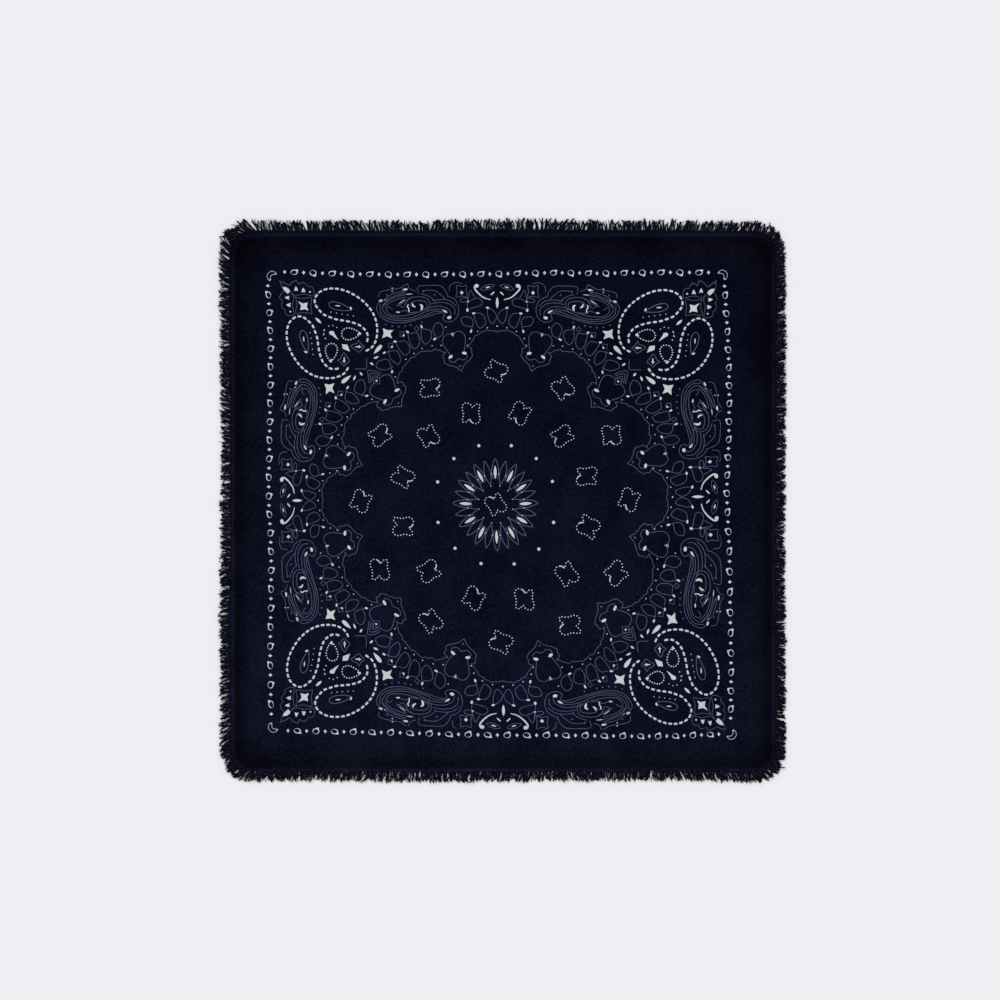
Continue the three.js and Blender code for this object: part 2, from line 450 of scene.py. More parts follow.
def lens_shape(at, length, width, turn=0.0, half_count=6):
    """A pointed oval."""
    x = np.cos(math.pi * np.arange(2 * half_count) / half_count)
    side = np.where(np.arange(2 * half_count) < half_count, 1, -1)
    return at + np.exp(1j * math.radians(turn)) * (length / 2 * x + 0.5j * width * side * (1 - x * x))


DROP_FULLNESS = 0.77


def drop_shape(tip, head, width, count=16):
    """A drop with its point at tip and its round end at head."""
    angle = 2 * math.pi * np.arange(count) / count
    body = 0.5 * (1 + np.cos(angle))
    axis = tip - head
    bulge = 0.5j * width / DROP_FULLNESS * np.sin(angle) * np.sin(angle / 2)
    return head + axis * body + bulge * axis / abs(axis)


def flared(corners, waist=0.14):
    """A solid star: straight corners with the middle of each side drawn in."""
    middle = corners.mean()
    points = []
    for k, corner in enumerate(corners):
        beside = corners[(k + 1) % len(corners)]
        points += [corner, (corner + beside) / 2 * (1 - waist) + middle * waist]
    return np.array(points)


# %% Shortcuts for what many motifs share
def curve(ink, width, *places, closed=False):
    """A line that runs smoothly through places read on the drafting sheet."""
    return line(ink, smooth(sheet(*places), closed), width, closed)


def patch(*places):
    return filled("bold", sheet(*places))


def lens(x, y, length, width, turn=0.0):
    return filled("bold", lens_shape(spot(x, y), length, width, turn))


def drop(tip, head, width):
    return filled("bold", drop_shape(spot(*tip), spot(*head), width))


def pip(x, y, length, width, turn):
    return filled("bold", oval(spot(x, y), length, width, turn))


# %% Copies of a motif, and the printed sheet that they fill
def moved(shapes, rule):
    """The same shapes with every point changed by a rule."""
    return [(ink, rule(points), loops, faces) for ink, points, loops, faces in shapes]


MIRRORS = {
    "upper_left": lambda z: z,
    "upper_right": lambda z: -np.conj(z),
    "lower_left": lambda z: np.conj(z),
    "lower_right": lambda z: -z,
}
printed = []


def stamp(shapes, *rules):
    """Adds a copy of the shapes for each rule."""
    for rule in rules or (MIRRORS["upper_left"],):
        printed.extend(moved(shapes, rule))


def across_diagonal(about):
    """The rule that mirrors in the falling diagonal through a point."""
    return lambda z: about - 1j * np.conj(z - about)


print("drawing tools ready, ink sheet empty")

# %% [markdown]
# The border is a row of little hollow drops with a diamond between each two, the same on all four sides.
# Its sides are one row, turned by quarter turns and mirrored, so the drops face the same way on facing sides.
# A crescent stands in each corner, open to the middle of the cloth.

# %% Border drops and diamonds
FINE_LINE = 0.46
DROPS = 23
DROP_PITCH = 18.54
ROW_REACH = 227.4
DIAMOND = (1.6, 2.0j, -1.6, -2.0j)
UPRIGHT_DROP = {"long": 6.9, "high": 5.2, "tail": 44, "grow": 0.62,
                "hole_long": 5.6, "hole_high": 3.9, "hole_turn": 12}
FALLING_DROP = {"long": 6.8, "high": 5.7, "tail": -62, "grow": 0.56,
                "hole_long": 5.5, "hole_high": 4.4, "hole_turn": -14}
HOLE_SHIFT = 0.3
ROW_SLIPS = {
    "back": {"right": (-1.0, 0.6, 1.7, 2.4, 1.7, 1.2, -1.5, -2.0, -0.2),
             "down": (-2.6, -0.7, 0.2, 0.2, -0.2, -1.1, -0.5, -1.2, -1.0)},
    "front": {"right": (0.8, 0.6, 0.6, 2.6, 4.8, 7.2, 8.2, 5.2, 1.3),
              "down": (1.5, 1.8, 1.9, 2.6, 2.7, 2.0, 1.8, 1.1, -1.6)},
    "left": {"right": (-3.8, -1.3, -1.6, -2.6, -3.4, -1.4, -1.6, -2.5, -1.6),
             "down": (-2.9, -4.6, -5.6, -5.9, -5.6, -5.7, -4.8, -3.3, -0.6)},
    "right": {"right": (1.4, 3.6, 4.1, 2.4, -0.3, 1.0, 0.8, 0.6, -0.8),
              "down": (-1.7, -3.6, -6.2, -8.6, -11.2, -9.9, -5.6, -2.0, -3.2)},
}

# %% A hollow drop
def border_drop(at, size):
    """A hollow drop: an oval with one pointed tail and an oval hole away from the tail."""
    count = 20
    angle = 2 * math.pi * np.arange(count) / count
    tail = math.radians(size["tail"])
    away = np.abs(np.angle(np.exp(1j * (angle - tail))))
    swollen = 1 + size["grow"] * np.exp(-((away / 0.30) ** 2))
    outer = (size["long"] * np.cos(angle) + 1j * size["high"] * np.sin(angle)) / 2 * swollen
    inner = (size["hole_long"] * np.cos(angle) + 1j * size["hole_high"] * np.sin(angle)) / 2
    inner = inner * np.exp(1j * math.radians(size["hole_turn"])) - HOLE_SHIFT * np.exp(1j * tail)
    faces = [(k, (k + 1) % count, count + (k + 1) % count, count + k) for k in range(count)]
    points = np.concatenate([outer, inner])
    loops = [list(range(count)), list(range(2 * count - 1, count - 1, -1))]
    return [("pale", at + points, loops, faces)]

# %% The border row, laid on each side
row = []
for number in range(DROPS):
    size = UPRIGHT_DROP if number % 2 == 0 else FALLING_DROP
    row += border_drop((number - DROPS // 2) * DROP_PITCH + 1j * ROW_REACH, size)
for number in range(DROPS + 1):
    diamond_at = (number - DROPS / 2) * DROP_PITCH + 1j * ROW_REACH
    row += filled("pale", flared(diamond_at + np.array(DIAMOND), waist=0.05))


def along_side(side, laid, way):
    """The rule that lays the row on a side: turned to it, and moved by that side's slips."""
    marks = np.linspace(-1, 1, 9)

    def rule(z):
        t = way * z.real / (DROPS / 2 * DROP_PITCH)
        slips = ROW_SLIPS[side]
        return laid(z) + smooth_table(t, marks, slips["right"]) - 1j * smooth_table(t, marks, slips["down"])

    return rule


stamp(row, along_side("back", MIRRORS["upper_left"], 1), along_side("front", MIRRORS["lower_left"], 1))
stamp(row, along_side("left", lambda z: 1j * z, -1), along_side("right", lambda z: -np.conj(1j * z), -1))

# %% Crescents in the corners
CRESCENT_AT = complex(-227.0, 227.0)
CRESCENT_OUT = (4.5 + 0.8j, 2.5 + 3.1j, -0.5 + 3.8j, -3.5 + 2.1j, -4.9 - 0.9j, -4.1 - 4.2j, -2.2 - 5.6j)
CRESCENT_IN = (-1.2 - 4.4j, -1.6 - 1.9j, 0.1 + 0.3j, 2.9 + 0.6j)
crescent_path = smooth(CRESCENT_AT + np.array(CRESCENT_OUT + CRESCENT_IN), closed=True)
crescent = line("pale", crescent_path, 0.4, closed=True)
crescent += dots("pale", CRESCENT_AT + np.array([3.8 + 1.2j, -2.0 - 4.9j]), 1.5)
stamp(crescent, *MIRRORS.values())
print("border shapes:", len(printed))

# %% [markdown]
# The corner cluster: a small star in wavy squares under a crown of petals, two large paisleys with dashed
# outlines that curl round it, and the beads, dotted drops and spades between them.
# Its upper half is drafted, and the lower half is that half mirrored in the diagonal of the corner.

# %% Corner star and crown
CORNER_MIDDLE = (303.4, 305.1)
STAR = ((298.0, 301.2), (303.1, 303.7), (307.8, 302.6), (307.0, 306.8), (308.6, 310.8), (304.8, 309.3),
        (300.3, 310.3), (301.2, 305.6))
PETAL_BIG = ((282.6, 286.9), (286.4, 287.4), (289.0, 289.2), (290.4, 291.3), (288.0, 293.9), (285.8, 292.1),
             (283.8, 289.8))
PETAL_SIDE = ((295.9, 286.4), (297.3, 288.3), (298.1, 291.1), (296.4, 290.5), (294.5, 291.2), (294.9, 288.4))
PETAL_NEXT = ((303.4, 287.8), (304.7, 289.7), (305.4, 292.5), (303.6, 291.9), (301.6, 292.6), (302.1, 289.8))
CROWN_EDGE = ((279.2, 281.0), (283.8, 282.6), (289.6, 285.2), (291.6, 282.4), (296.2, 280.6), (299.2, 284.2),
              (302.0, 282.3), (306.2, 283.9), (308.2, 286.8), (311.8, 286.9), (314.2, 291.2), (313.6, 296.0))
CROWN_FOOT = ((290.6, 293.8), (296.6, 295.6), (303.4, 294.3), (313.2, 296.2))
WAVY_SQUARE = ((294.6, 297.4), (303.6, 298.6), (311.4, 297.8), (311.0, 306.0), (312.2, 314.2))
corner_mirror = across_diagonal(spot(*CORNER_MIDDLE))


def both_halves(shapes):
    """Shapes of the corner's upper half, and the same mirrored in its diagonal."""
    return shapes + moved(shapes, corner_mirror)


crown_half = patch(*PETAL_SIDE) + patch(*PETAL_NEXT) + dots("bold", [spot(310.1, 292.1)], 1.8)
crown_half += curve("fine", 0.38, *CROWN_EDGE)
crown_half += curve("fine", 0.4, *CROWN_FOOT)
crown_half += curve("fine", 0.42, *WAVY_SQUARE)
crown = patch(*STAR) + patch(*PETAL_BIG) + both_halves(crown_half)
print("shapes in the star and its crown:", len(crown))

# %% Large dashed paisleys
DASH = {"length": 3.9, "width": 1.95, "pitch": 5.95}
PAISLEY_OUTER = ((318.3, 309.0), (315.5, 304.9), (314.8, 300.0), (316.6, 295.6), (321.6, 291.0),
                 (331.2, 288.6), (343.4, 290.2), (355.2, 295.6), (365.4, 303.4), (373.0, 313.2),
                 (376.9, 324.6), (376.8, 337.4), (372.4, 347.0), (365.0, 351.6))
PAISLEY_INNER = ((318.3, 309.0), (323.2, 314.2), (328.6, 316.7), (336.8, 319.6), (347.6, 321.4),
                 (358.4, 324.7), (364.6, 329.4), (367.9, 335.6), (367.0, 343.0))
paisley = dashes("pale", smooth(sheet(*PAISLEY_OUTER)), **DASH)
paisley += dashes("pale", smooth(sheet(*PAISLEY_INNER)), **DASH)
paisley += line("fine", drop_shape(spot(352.0, 310.4), spot(329.0, 304.0), 7.6, count=28), 0.62, closed=True)
paisley += drop((350.2, 306.6), (351.6, 309.8), 2.0) + lens(337.8, 306.0, 5.8, 1.3, turn=-6)
paisley += dotted("pale", smooth(sheet((331.2, 312.3), (341.8, 314.2), (353.4, 316.0))), 1.0, 5.4)
dotted_drop = smooth(drop_shape(spot(361.0, 333.8), spot(341.8, 334.2), 12.2), closed=True)
paisley += dotted("pale", dotted_drop[3:-3], 1.4, 2.75) + drop((357.4, 334.4), (361.2, 333.6), 2.4)
paisley += dots("pale", sheet((333.0, 325.7), (336.9, 327.6), (328.9, 326.2)), 1.1)
print("shapes in one dashed paisley:", len(paisley))

# %% Beads, spades and stars round the large paisleys
SPADE = ((351.0, 346.4), (354.7, 344.0), (357.2, 343.4), (359.1, 340.4), (361.0, 343.8), (364.6, 346.8),
         (361.9, 349.3), (359.4, 352.2), (354.9, 349.3))
STAR_OUTER = ((383.1, 328.3), (387.7, 330.3), (393.6, 330.2), (390.3, 333.6), (392.2, 338.6), (387.0, 336.3),
              (382.2, 338.3), (383.8, 333.6))
LEAF = ((329.1, 332.3), (330.8, 331.1), (333.9, 331.5), (334.8, 334.1), (336.4, 336.6), (338.8, 340.1),
        (335.4, 338.0), (332.4, 335.6), (330.2, 334.6))
KITE = ((342.3, 344.3), (347.5, 344.9), (348.9, 348.4), (350.1, 351.7), (342.8, 348.7))
NEST = ((381.0, 374.2), (375.4, 371.2), (368.2, 370.8), (368.6, 377.0), (369.6, 383.6))
NEST_HEART = (376.4, 380.4)
spade = curve("fine", 0.55, *SPADE, closed=True)
spade += lens(358.4, 346.9, 7.2, 1.4) + lens(359.4, 346.9, 3.8, 1.1, turn=90)
beads = drop((373.8, 354.0), (381.8, 345.2), 4.0)
beads += lens(376.3, 357.6, 5.6, 2.0, turn=22) + lens(371.9, 363.9, 4.4, 2.0, turn=-38)
corner = crown + both_halves(paisley) + both_halves(spade) + both_halves(beads)
corner += both_halves(patch(*STAR_OUTER))
corner += lens(318.4, 320.6, 8.4, 2.6, turn=-43) + patch(*LEAF) + patch(*KITE)
corner += dots("pale", sheet((324.7, 330.0), (324.1, 334.0), (325.6, 338.4)), 1.1)
corner += line("fine", sheet((355.2, 369.0), (361.0, 369.2), (366.4, 369.0)), 0.5)
corner += line("fine", sheet((366.8, 368.2), (366.8, 363.0), (366.6, 358.8)), 0.5)
nest_heart = spot(*NEST_HEART)
for size in (1.0, 0.72, 0.44):
    corner += line("fine", smooth(nest_heart + size * (sheet(*NEST) - nest_heart)), 0.5)
stamp(corner, *MIRRORS.values())
print("with the corner clusters:", len(printed))

# %% [markdown]
# Two ornate paisleys lie along each side, head to the corner and tail to the middle of the side: flowing
# lines nested in each other round an eye, in fine ink, with a few bold commas and beads.
# Nested lines could be offsets of one outline, but the real ones close up at the tail and part at the head,
# so each is a smooth line of its own through a few places.

# %% Ornate paisley
PAISLEY_LINES = [
    ((379.0, 302.6), (376.6, 307.6), (380.5, 316.2), (390.0, 322.0), (405.5, 322.6), (424.7, 317.4),
     (438.8, 313.2), (444.4, 314.2), (443.0, 319.4), (449.3, 322.0), (456.6, 318.0), (458.8, 309.0),
     (455.6, 300.6), (448.6, 296.4)),
    ((379.9, 304.0), (381.4, 313.6), (390.4, 319.4), (407.0, 320.6), (424.0, 315.8), (434.6, 311.6),
     (443.0, 311.8)),
    ((389.0, 299.6), (382.4, 307.0), (387.0, 315.2), (398.0, 318.6), (412.0, 317.6), (428.0, 311.0),
     (438.8, 309.2), (446.4, 310.6)),
    ((392.6, 309.6), (389.0, 307.2), (386.4, 310.0), (391.0, 315.2), (403.0, 316.0), (418.0, 312.6),
     (430.4, 307.4), (442.0, 306.6), (449.6, 310.4), (451.4, 315.6)),
    ((380.5, 302.8), (388.8, 298.7), (397.2, 295.3), (405.5, 292.6)),
    ((397.4, 304.6), (403.6, 307.2), (409.0, 299.0), (418.0, 296.9), (427.2, 298.8), (430.0, 304.8),
     (427.0, 311.0)),
    ((411.0, 306.6), (411.6, 302.4), (418.4, 300.8), (425.8, 302.0), (427.2, 306.6), (423.8, 310.3)),
    ((400.6, 312.0), (406.0, 310.4), (409.4, 312.8), (417.0, 312.0)),
    ((431.3, 303.9), (439.7, 302.6), (448.6, 303.8), (454.6, 309.0), (454.8, 315.0)),
    ((432.6, 301.0), (441.0, 299.6), (449.6, 300.8), (456.2, 306.0)),
    ((378.8, 297.4), (380.0, 292.4), (391.0, 289.6), (399.7, 288.4), (407.0, 284.0), (409.4, 288.6),
     (415.0, 291.0)),
    ((384.6, 300.0), (389.6, 295.4), (398.6, 292.4), (404.6, 291.6)),
    ((418.6, 293.6), (418.2, 286.8), (430.0, 285.6), (440.6, 286.2), (446.0, 291.6), (448.2, 297.4)),
    ((422.4, 291.0), (433.8, 290.6), (441.0, 295.0), (445.6, 299.4)),
    ((421.3, 293.9), (428.6, 296.2), (434.9, 301.2)),
    ((382.9, 306.3), (388.7, 301.1), (397.6, 296.7), (408.7, 294.4), (413.1, 294.2)),
    ((385.0, 307.6), (390.2, 302.6), (398.4, 299.0), (406.2, 297.2)),
    ((396.4, 306.2), (402.4, 303.4), (407.8, 299.8), (411.0, 298.6)),
]
PAISLEY_DOTS = ((386.9, 294.9), (423.4, 291.6), (434.7, 294.9), (385.9, 324.5), (392.3, 326.4),
                (399.0, 326.9), (405.1, 326.3), (410.6, 325.2))
fancy = []
for places in PAISLEY_LINES:
    fancy += curve("fine", FINE_LINE, *places)
fancy += lens(409.2, 294.3, 6.4, 0.8, turn=6) + lens(402.2, 301.6, 8.4, 0.8, turn=34)
fancy += drop((402.4, 289.9), (407.6, 289.3), 2.0) + drop((395.8, 312.2), (399.8, 312.4), 1.5)
fancy += curve("bold", [0.8, 1.9, 0.8], (412.4, 303.2), (413.2, 305.9), (415.4, 307.3))
fancy += curve("bold", [0.6, 2.3, 2.2, 0.9], (419.8, 304.6), (421.8, 305.7), (422.0, 308.4), (421.0, 310.4))
fancy += curve("bold", [0.9, 1.3, 0.9, 1.2], (408.4, 304.4), (407.5, 306.8), (408.8, 308.6), (409.0, 312.0))
fancy += drop((442.4, 309.9), (447.2, 312.8), 1.8)
fancy += pip(449.3, 317.6, 4.4, 3.0, turn=12) + pip(380.9, 300.8, 4.2, 1.9, turn=22)
fancy += dots("fine", sheet(*PAISLEY_DOTS), 1.5) + dots("bold", [spot(385.2, 300.1)], 1.0)
fancy += dots("bold", sheet((392.3, 288.4), (392.3, 291.5)), 1.2) + dots("fine", [spot(422.2, 322.2)], 1.3)
print("shapes in one ornate paisley:", len(fancy))

# %% Middle of a side
# beside the paisley's tail a diamond in a scallop, then two curled hooks that face each other over a bead
HOOK = ((475.0, 285.4), (474.7, 288.6), (478.6, 293.6), (484.0, 297.8), (490.5, 299.8))
SIDE_DIAMOND = ((461.8, 290.8), (463.6, 292.8), (461.7, 294.8), (459.9, 292.6))
SIDE_SCALLOP = ((456.6, 285.6), (461.6, 286.6), (466.6, 285.4), (466.2, 291.4), (467.0, 297.0),
                (461.6, 296.2), (456.2, 297.2), (457.2, 291.6))
SIDE_LEAF = ((468.1, 302.5), (472.5, 299.6), (477.5, 298.2), (481.3, 299.9), (482.4, 302.8), (480.0, 305.8),
             (473.8, 307.7), (469.2, 308.8))
SIDE_STEM = ((468.5, 298.2), (469.0, 293.2), (470.6, 290.4), (472.2, 293.0), (475.0, 297.6))
MIDDLE_BEAD = (498.0, 302.8)
middle = filled("bold", flared(sheet(*SIDE_DIAMOND), waist=0.02))
middle += curve("fine", FINE_LINE, *SIDE_SCALLOP, closed=True)
middle += curve("fine", FINE_LINE, (449.3, 291.6), (450.2, 285.6), (456.3, 282.6), (462.0, 284.0))
middle += line("fine", oval(spot(464.2, 300.2), 8.6, 4.2, turn=8), FINE_LINE, closed=True)
middle += curve("fine", FINE_LINE, (468.6, 296.0), (467.4, 302.6), (467.6, 309.4))
middle += curve("fine", FINE_LINE, *SIDE_LEAF) + curve("fine", FINE_LINE, *SIDE_STEM)
middle += dots("bold", [spot(468.1, 301.6)], 1.6) + pip(467.5, 310.2, 3.2, 2.4, turn=100)
middle += curve("bold", [1.3, 1.6, 1.3, 1.1, 0.8], *HOOK) + pip(476.6, 286.0, 4.6, 3.7, turn=15)
middle += line("fine", lens_shape(spot(487.4, 287.4), 14.8, 5.0, turn=17), 0.42, closed=True)
middle += lens(487.7, 287.4, 5.0, 1.4, turn=16)
middle += line("bold", sheet((490.9, 295.0), (492.6, 293.5), (494.3, 292.0)), [1.0, 1.4, 1.0])
middle_bead = lens(*MIDDLE_BEAD, 11.2, 2.9, turn=90)
print("shapes beside the middle of a side:", len(middle))

# %% [markdown]
# Below the paisleys runs a garland: looped ribbons, each hung from a bead, swinging from the middle of one
# side to the corner, where the next side's garland meets it. Its lower edge is a scalloped line.
# The twelve hearts lean on that edge. They sit every thirty degrees round the middle, tips inwards.

# %% Garland loops
# each loop: its bead, then the end of its ribbon and the places that the ribbon runs through
LOOPS = (
    ((487.6, 307.9), ((489.4, 308.4), (488.0, 316.0), (491.6, 323.6), (496.6, 318.0), (494.4, 312.0))),
    ((473.8, 313.4), ((475.6, 313.2), (475.2, 320.0), (479.8, 328.2), (485.8, 322.6), (482.0, 314.2))),
    ((471.1, 331.3), ((472.6, 327.0), (473.2, 321.0), (468.0, 316.8), (461.4, 318.4), (463.6, 325.0))),
    ((434.8, 339.2), ((436.2, 338.4), (442.0, 335.2), (443.2, 327.4), (438.2, 322.6), (433.2, 328.4))),
    ((421.6, 326.7), ((422.6, 329.0), (421.3, 338.6), (425.9, 344.2), (430.8, 339.0), (430.8, 331.0))),
    ((407.6, 332.1), ((409.7, 333.8), (410.4, 344.0), (414.7, 348.8), (419.3, 343.6), (417.6, 333.3))),
    ((395.1, 341.7), ((398.4, 342.0), (400.4, 351.0), (405.6, 355.4), (410.1, 349.8), (405.5, 341.3))),
    ((384.5, 352.9), ((388.8, 350.4), (396.0, 350.8), (400.5, 358.0), (398.4, 364.4), (390.6, 358.6))),
    ((392.2, 371.8), ((393.2, 367.0), (388.6, 360.2), (379.0, 361.4), (376.4, 367.2), (384.7, 370.2))),
)
SCALLOPS = ((446.1, 352.9), (441.0, 351.0), (435.5, 349.2), (431.3, 350.9), (424.0, 351.2), (419.7, 352.2),
            (415.0, 356.4), (410.6, 358.4), (407.2, 363.0), (403.6, 366.4), (402.0, 370.4), (399.3, 374.4),
            (397.8, 379.4), (397.4, 384.2))
TOP_LOBE = ((499.4, 331.6), (491.2, 330.6), (485.0, 330.6), (478.8, 334.2), (473.9, 337.5), (472.5, 341.3),
            (467.4, 346.2))
GARLAND_DOTS = ((487.4, 327.8), (497.4, 326.2), (477.8, 331.3), (469.9, 338.5), (467.6, 345.5),
                (445.9, 327.2), (422.2, 348.5), (432.2, 345.8), (441.3, 345.4), (414.1, 353.6),
                (405.9, 359.3), (395.5, 377.1))
garland = []
for bead_place, loop_places in LOOPS:
    loop = sheet(*loop_places)
    bead = spot(*bead_place)
    garland += line("fine", smooth(np.concatenate([[bead], loop[1:], loop[:1]])), FINE_LINE)
    garland += filled("bold", oval(bead, 3.4, 1.9, turn=math.degrees(np.angle(loop[0] - bead))))
for places in (SCALLOPS, TOP_LOBE):
    garland += line("fine", rippled(smooth(sheet(*places))), FINE_LINE)
garland += dots("pale", sheet(*GARLAND_DOTS), 1.15)
small_star = flared(sheet((416.8, 325.9), (419.4, 328.8), (416.8, 331.9), (414.2, 328.8)))
garland += line("fine", small_star, 0.45, closed=True)
for x, y in ((402.6, 334.4), (391.0, 345.9)):
    corners = sheet((x - 2.8, y - 2.4), (x + 1.6, y - 2.8), (x + 2.2, y + 2.2), (x - 2.4, y + 2.6))
    garland += line("fine", flared(corners), 0.45, closed=True) + pip(x + 1.1, y + 1.1, 2.4, 1.7, turn=60)
half_side = fancy + middle + garland
for quarter in (1, 1j):
    for mirrored in (False, True):
        for way in (quarter, -quarter):
            stamp(half_side, lambda z, way=way, mirrored=mirrored: way * (-np.conj(z) if mirrored else z))
bead_inset = spot(*MIDDLE_BEAD).real
for way in (1, 1j, -1, -1j):
    stamp(middle_bead, lambda z, way=way: way * (1j * z.imag + (z.real - bead_inset)))
print("with the sides:", len(printed))

# %% Hearts
HEARTS = 12
HEART_SEAT = {False: 152.7, True: 149.3}
HEART_STRETCH = {False: (1.04, 1.0), True: (1.2, 0.94)}
LOBE = (18.4j, 1.6 + 21j, 5.6 + 22.4j, 9.8 + 19.8j, 11.2 + 15.4j, 10.2 + 10j, 8.2 + 5j, 6.9 + 1j)
LOBE_DIAGONAL = (3.2 + 22.4j, 6.6 + 21.8j, 10.0 + 19.4j, 11.2 + 15.4j, 10.2 + 10j, 8.2 + 5j, 6.9 + 1j)
CURL = (7.4 - 0.6j, 8.9 - 2.2j, 8.2 - 4.9j, 4.6 - 6.4j, 2.0 - 5.0j, -4.0j)
FRILL = (10.7 + 5.3j, 12.6 + 3.8j, 14.7 + 2.2j, 13.5 - 0.9j, 14.2 - 3.4j, 11.8 - 6.8j, 8.4 - 8.7j,
         4.8 - 10.8j, 2.4 - 13.2j, -16.8j)


def heart_shapes(diagonal):
    """A heart with its foot at the origin and its lobes up. Those on the diagonals are broader."""
    wide, tall = HEART_STRETCH[diagonal]
    half = []
    for part in (LOBE_DIAGONAL if diagonal else LOBE, CURL):
        half += line("fine", smooth(np.array(part)), FINE_LINE)
    half += line("fine", rippled(smooth(np.array(FRILL)), size=0.5, pitch=5.0), FINE_LINE)
    half += filled("bold", oval(6.9 - 0.2j, 4.7, 2.7, turn=-25))
    whole = half + moved(half, MIRRORS["upper_right"])
    whole += dots("fine", [-11.4j], 1.7)
    if diagonal:
        whole += line("fine", np.array([26.6j, 3.4 + 22.4j, 17.6j, -3.4 + 22.4j]), FINE_LINE, closed=True)
        whole += dots("bold", [22.4j], 1.9)
    else:
        for arm in (-1.1, 1.1):
            whole += line("bold", np.array([arm + 22.6j, 0.3 * arm + 20.9j, 19.3j]), [0.4, 0.7, 0.5])
    return moved(whole, lambda z: wide * z.real + 1j * tall * z.imag)


for number in range(HEARTS):
    way = np.exp(1j * math.radians(15 + 30 * number))
    diagonal = number % 3 == 1
    stamp(heart_shapes(diagonal), lambda z, seat=HEART_SEAT[diagonal], way=way: (seat - 1j * z) * way)
print("with the hearts:", len(printed))

# %% [markdown]
# The open field holds twenty-four little figures of dots, in two rings, each turned on by thirty degrees from
# its neighbour, and one more in the middle of a daisy with twenty-four petals.
# A figure is one curve of two lobes and two tails, drawn as dots, with a longer dash at one inner curl.

# %% Dotted figures
FIGURE_HALF = (2.9 + 5.25j, 1.7 + 8.4j, -0.6 + 10.6j, -3.6 + 11.2j, -6.6 + 9.3j, -7.6 + 6.0j, -7.6 + 1.6j,
               -8.8 - 2.0j, -10.4 - 5.4j, -8.4 - 7.4j, -5.5 - 6.7j)
FIGURE_DOT = 1.25
FIGURE_DOT_PITCH = 2.95
FIGURE_DASH = 0.95
FIGURES_LOW = 1.0
# each ring: its radius, the angle of its first figure and how far each figure is turned from there
RINGS = ((94.3, 15.0, -90.0), (132.8, 0.0, -10.0))
MIDDLE_SIZE = 0.97
MIDDLE_TURN = -137
half_figure = -np.array(FIGURE_HALF)
figure_path = smooth(np.concatenate([half_figure, -half_figure]), closed=True, pace=0.7)
dash_end = np.argmin(np.abs(figure_path - half_figure[2]))
figure = line("pale", figure_path[:dash_end], [FIGURE_DASH, 1.15 * FIGURE_DASH, FIGURE_DASH])
figure += dotted("pale", figure_path[dash_end + 3:-2], FIGURE_DOT, FIGURE_DOT_PITCH)
for radius, start, turned in RINGS:
    for place in start + 30 * np.arange(12):
        seat = radius * np.exp(1j * math.radians(place)) - 1j * FIGURES_LOW
        way = np.exp(1j * math.radians(place + turned))
        stamp(figure, lambda z, seat=seat, way=way: seat + z * way)
stamp(figure, lambda z: MIDDLE_SIZE * z * np.exp(1j * math.radians(MIDDLE_TURN)))

# %% Daisy and the ring of dots
PETALS = 24
SOLID_RADIUS = 29.6
PETAL_HALF = (23.2 - 2.1j, 29.2 - 3.6j, 35.6 - 2.7j)
PETAL_TIP = 42.0
PETAL_LINE = 0.56
STRETCH_UP = 0.08
DOT_RING = 60.3
DOT_RING_PLACES = (19.4, 47.2, 74.4)
daisy = []
for number in range(PETALS):
    turn = np.exp(2j * math.pi * number / PETALS)
    if number % 2 == 0:
        daisy += moved(filled("bold", lens_shape(SOLID_RADIUS, 12.6, 3.0)), lambda z, turn=turn: z * turn)
        round_tip = PETAL_HALF + (PETAL_TIP,) + tuple(p.conjugate() for p in reversed(PETAL_HALF))
        petal = line("fine", smooth(np.array(round_tip)), PETAL_LINE)
    else:
        petal = line("fine", lens_shape(29.9, 22.6, 6.1, half_count=10), PETAL_LINE, closed=True)
        daisy += moved(dots("pale", [17.4 + 0j], 1.0), lambda z, turn=turn: z * turn)
    daisy += moved(petal, lambda z, turn=turn: z * turn)
    daisy += dots("pale", [28.2 * turn * np.exp(1j * math.pi / PETALS)], 1.05)
stamp(daisy, lambda z: z + 1j * STRETCH_UP * z.imag)
ring_dots = dots("bold", DOT_RING * -np.exp(-1j * np.radians(DOT_RING_PLACES)), 3.2)
stamp(ring_dots, *MIRRORS.values())
print("all shapes of the print:", len(printed))

# %% [markdown]
# Now the print goes into the cloth. A print could be painted on as a texture, or laid on as thin raised
# pieces, but ink on wool is neither blurred nor raised. So one flat triangulation takes every outline of the
# print as edges, together with a plain grid and the rings of the rim. Each triangle then lies wholly in wool
# or in ink, the flat mesh is lifted to the height of the cloth, and a wall and an underside close it.

# %% Ink outlines laid on the cloth
def on_cloth(z):
    """A point of the square draft, in mm on the cloth: leaned as the print leans, and scaled."""
    return PRINT_MIDDLE + SHEET_STEP * (z + slip(z))


def round_edges(count, first=0):
    """The edges of a closed loop of points."""
    return [(first + k, first + (k + 1) % count) for k in range(count)]


ink_edges = []
ink_points = []
ink_faces = {"bold": ([], []), "pale": ([], []), "fine": ([], [])}
for ink, points, loops, faces in printed:
    places = on_cloth(points)
    for loop in loops:
        ink_edges += round_edges(len(loop), len(ink_points))
        ink_points += [places[k] for k in loop]
    verts, polygons = ink_faces[ink]
    start = len(verts)
    verts += [(p.real, p.imag, 0.0) for p in places]
    polygons += [tuple(start + k for k in face) for face in faces]
trees = {ink: BVHTree.FromPolygons(verts, polygons) for ink, (verts, polygons) in ink_faces.items()}
print("ink outline points:", len(ink_points))

# %% The flat triangulation
GRID_PITCH = 4.2
RING_INSETS = (0.0, 0.35, 0.8, 1.4, 2.2, 3.1, 4.0, 4.8, 5.5, 6.2, 7.0, 8.2, 10.0, 12.4)
GRID_FROM = 14.4
CUT_PRECISION = 1e-5


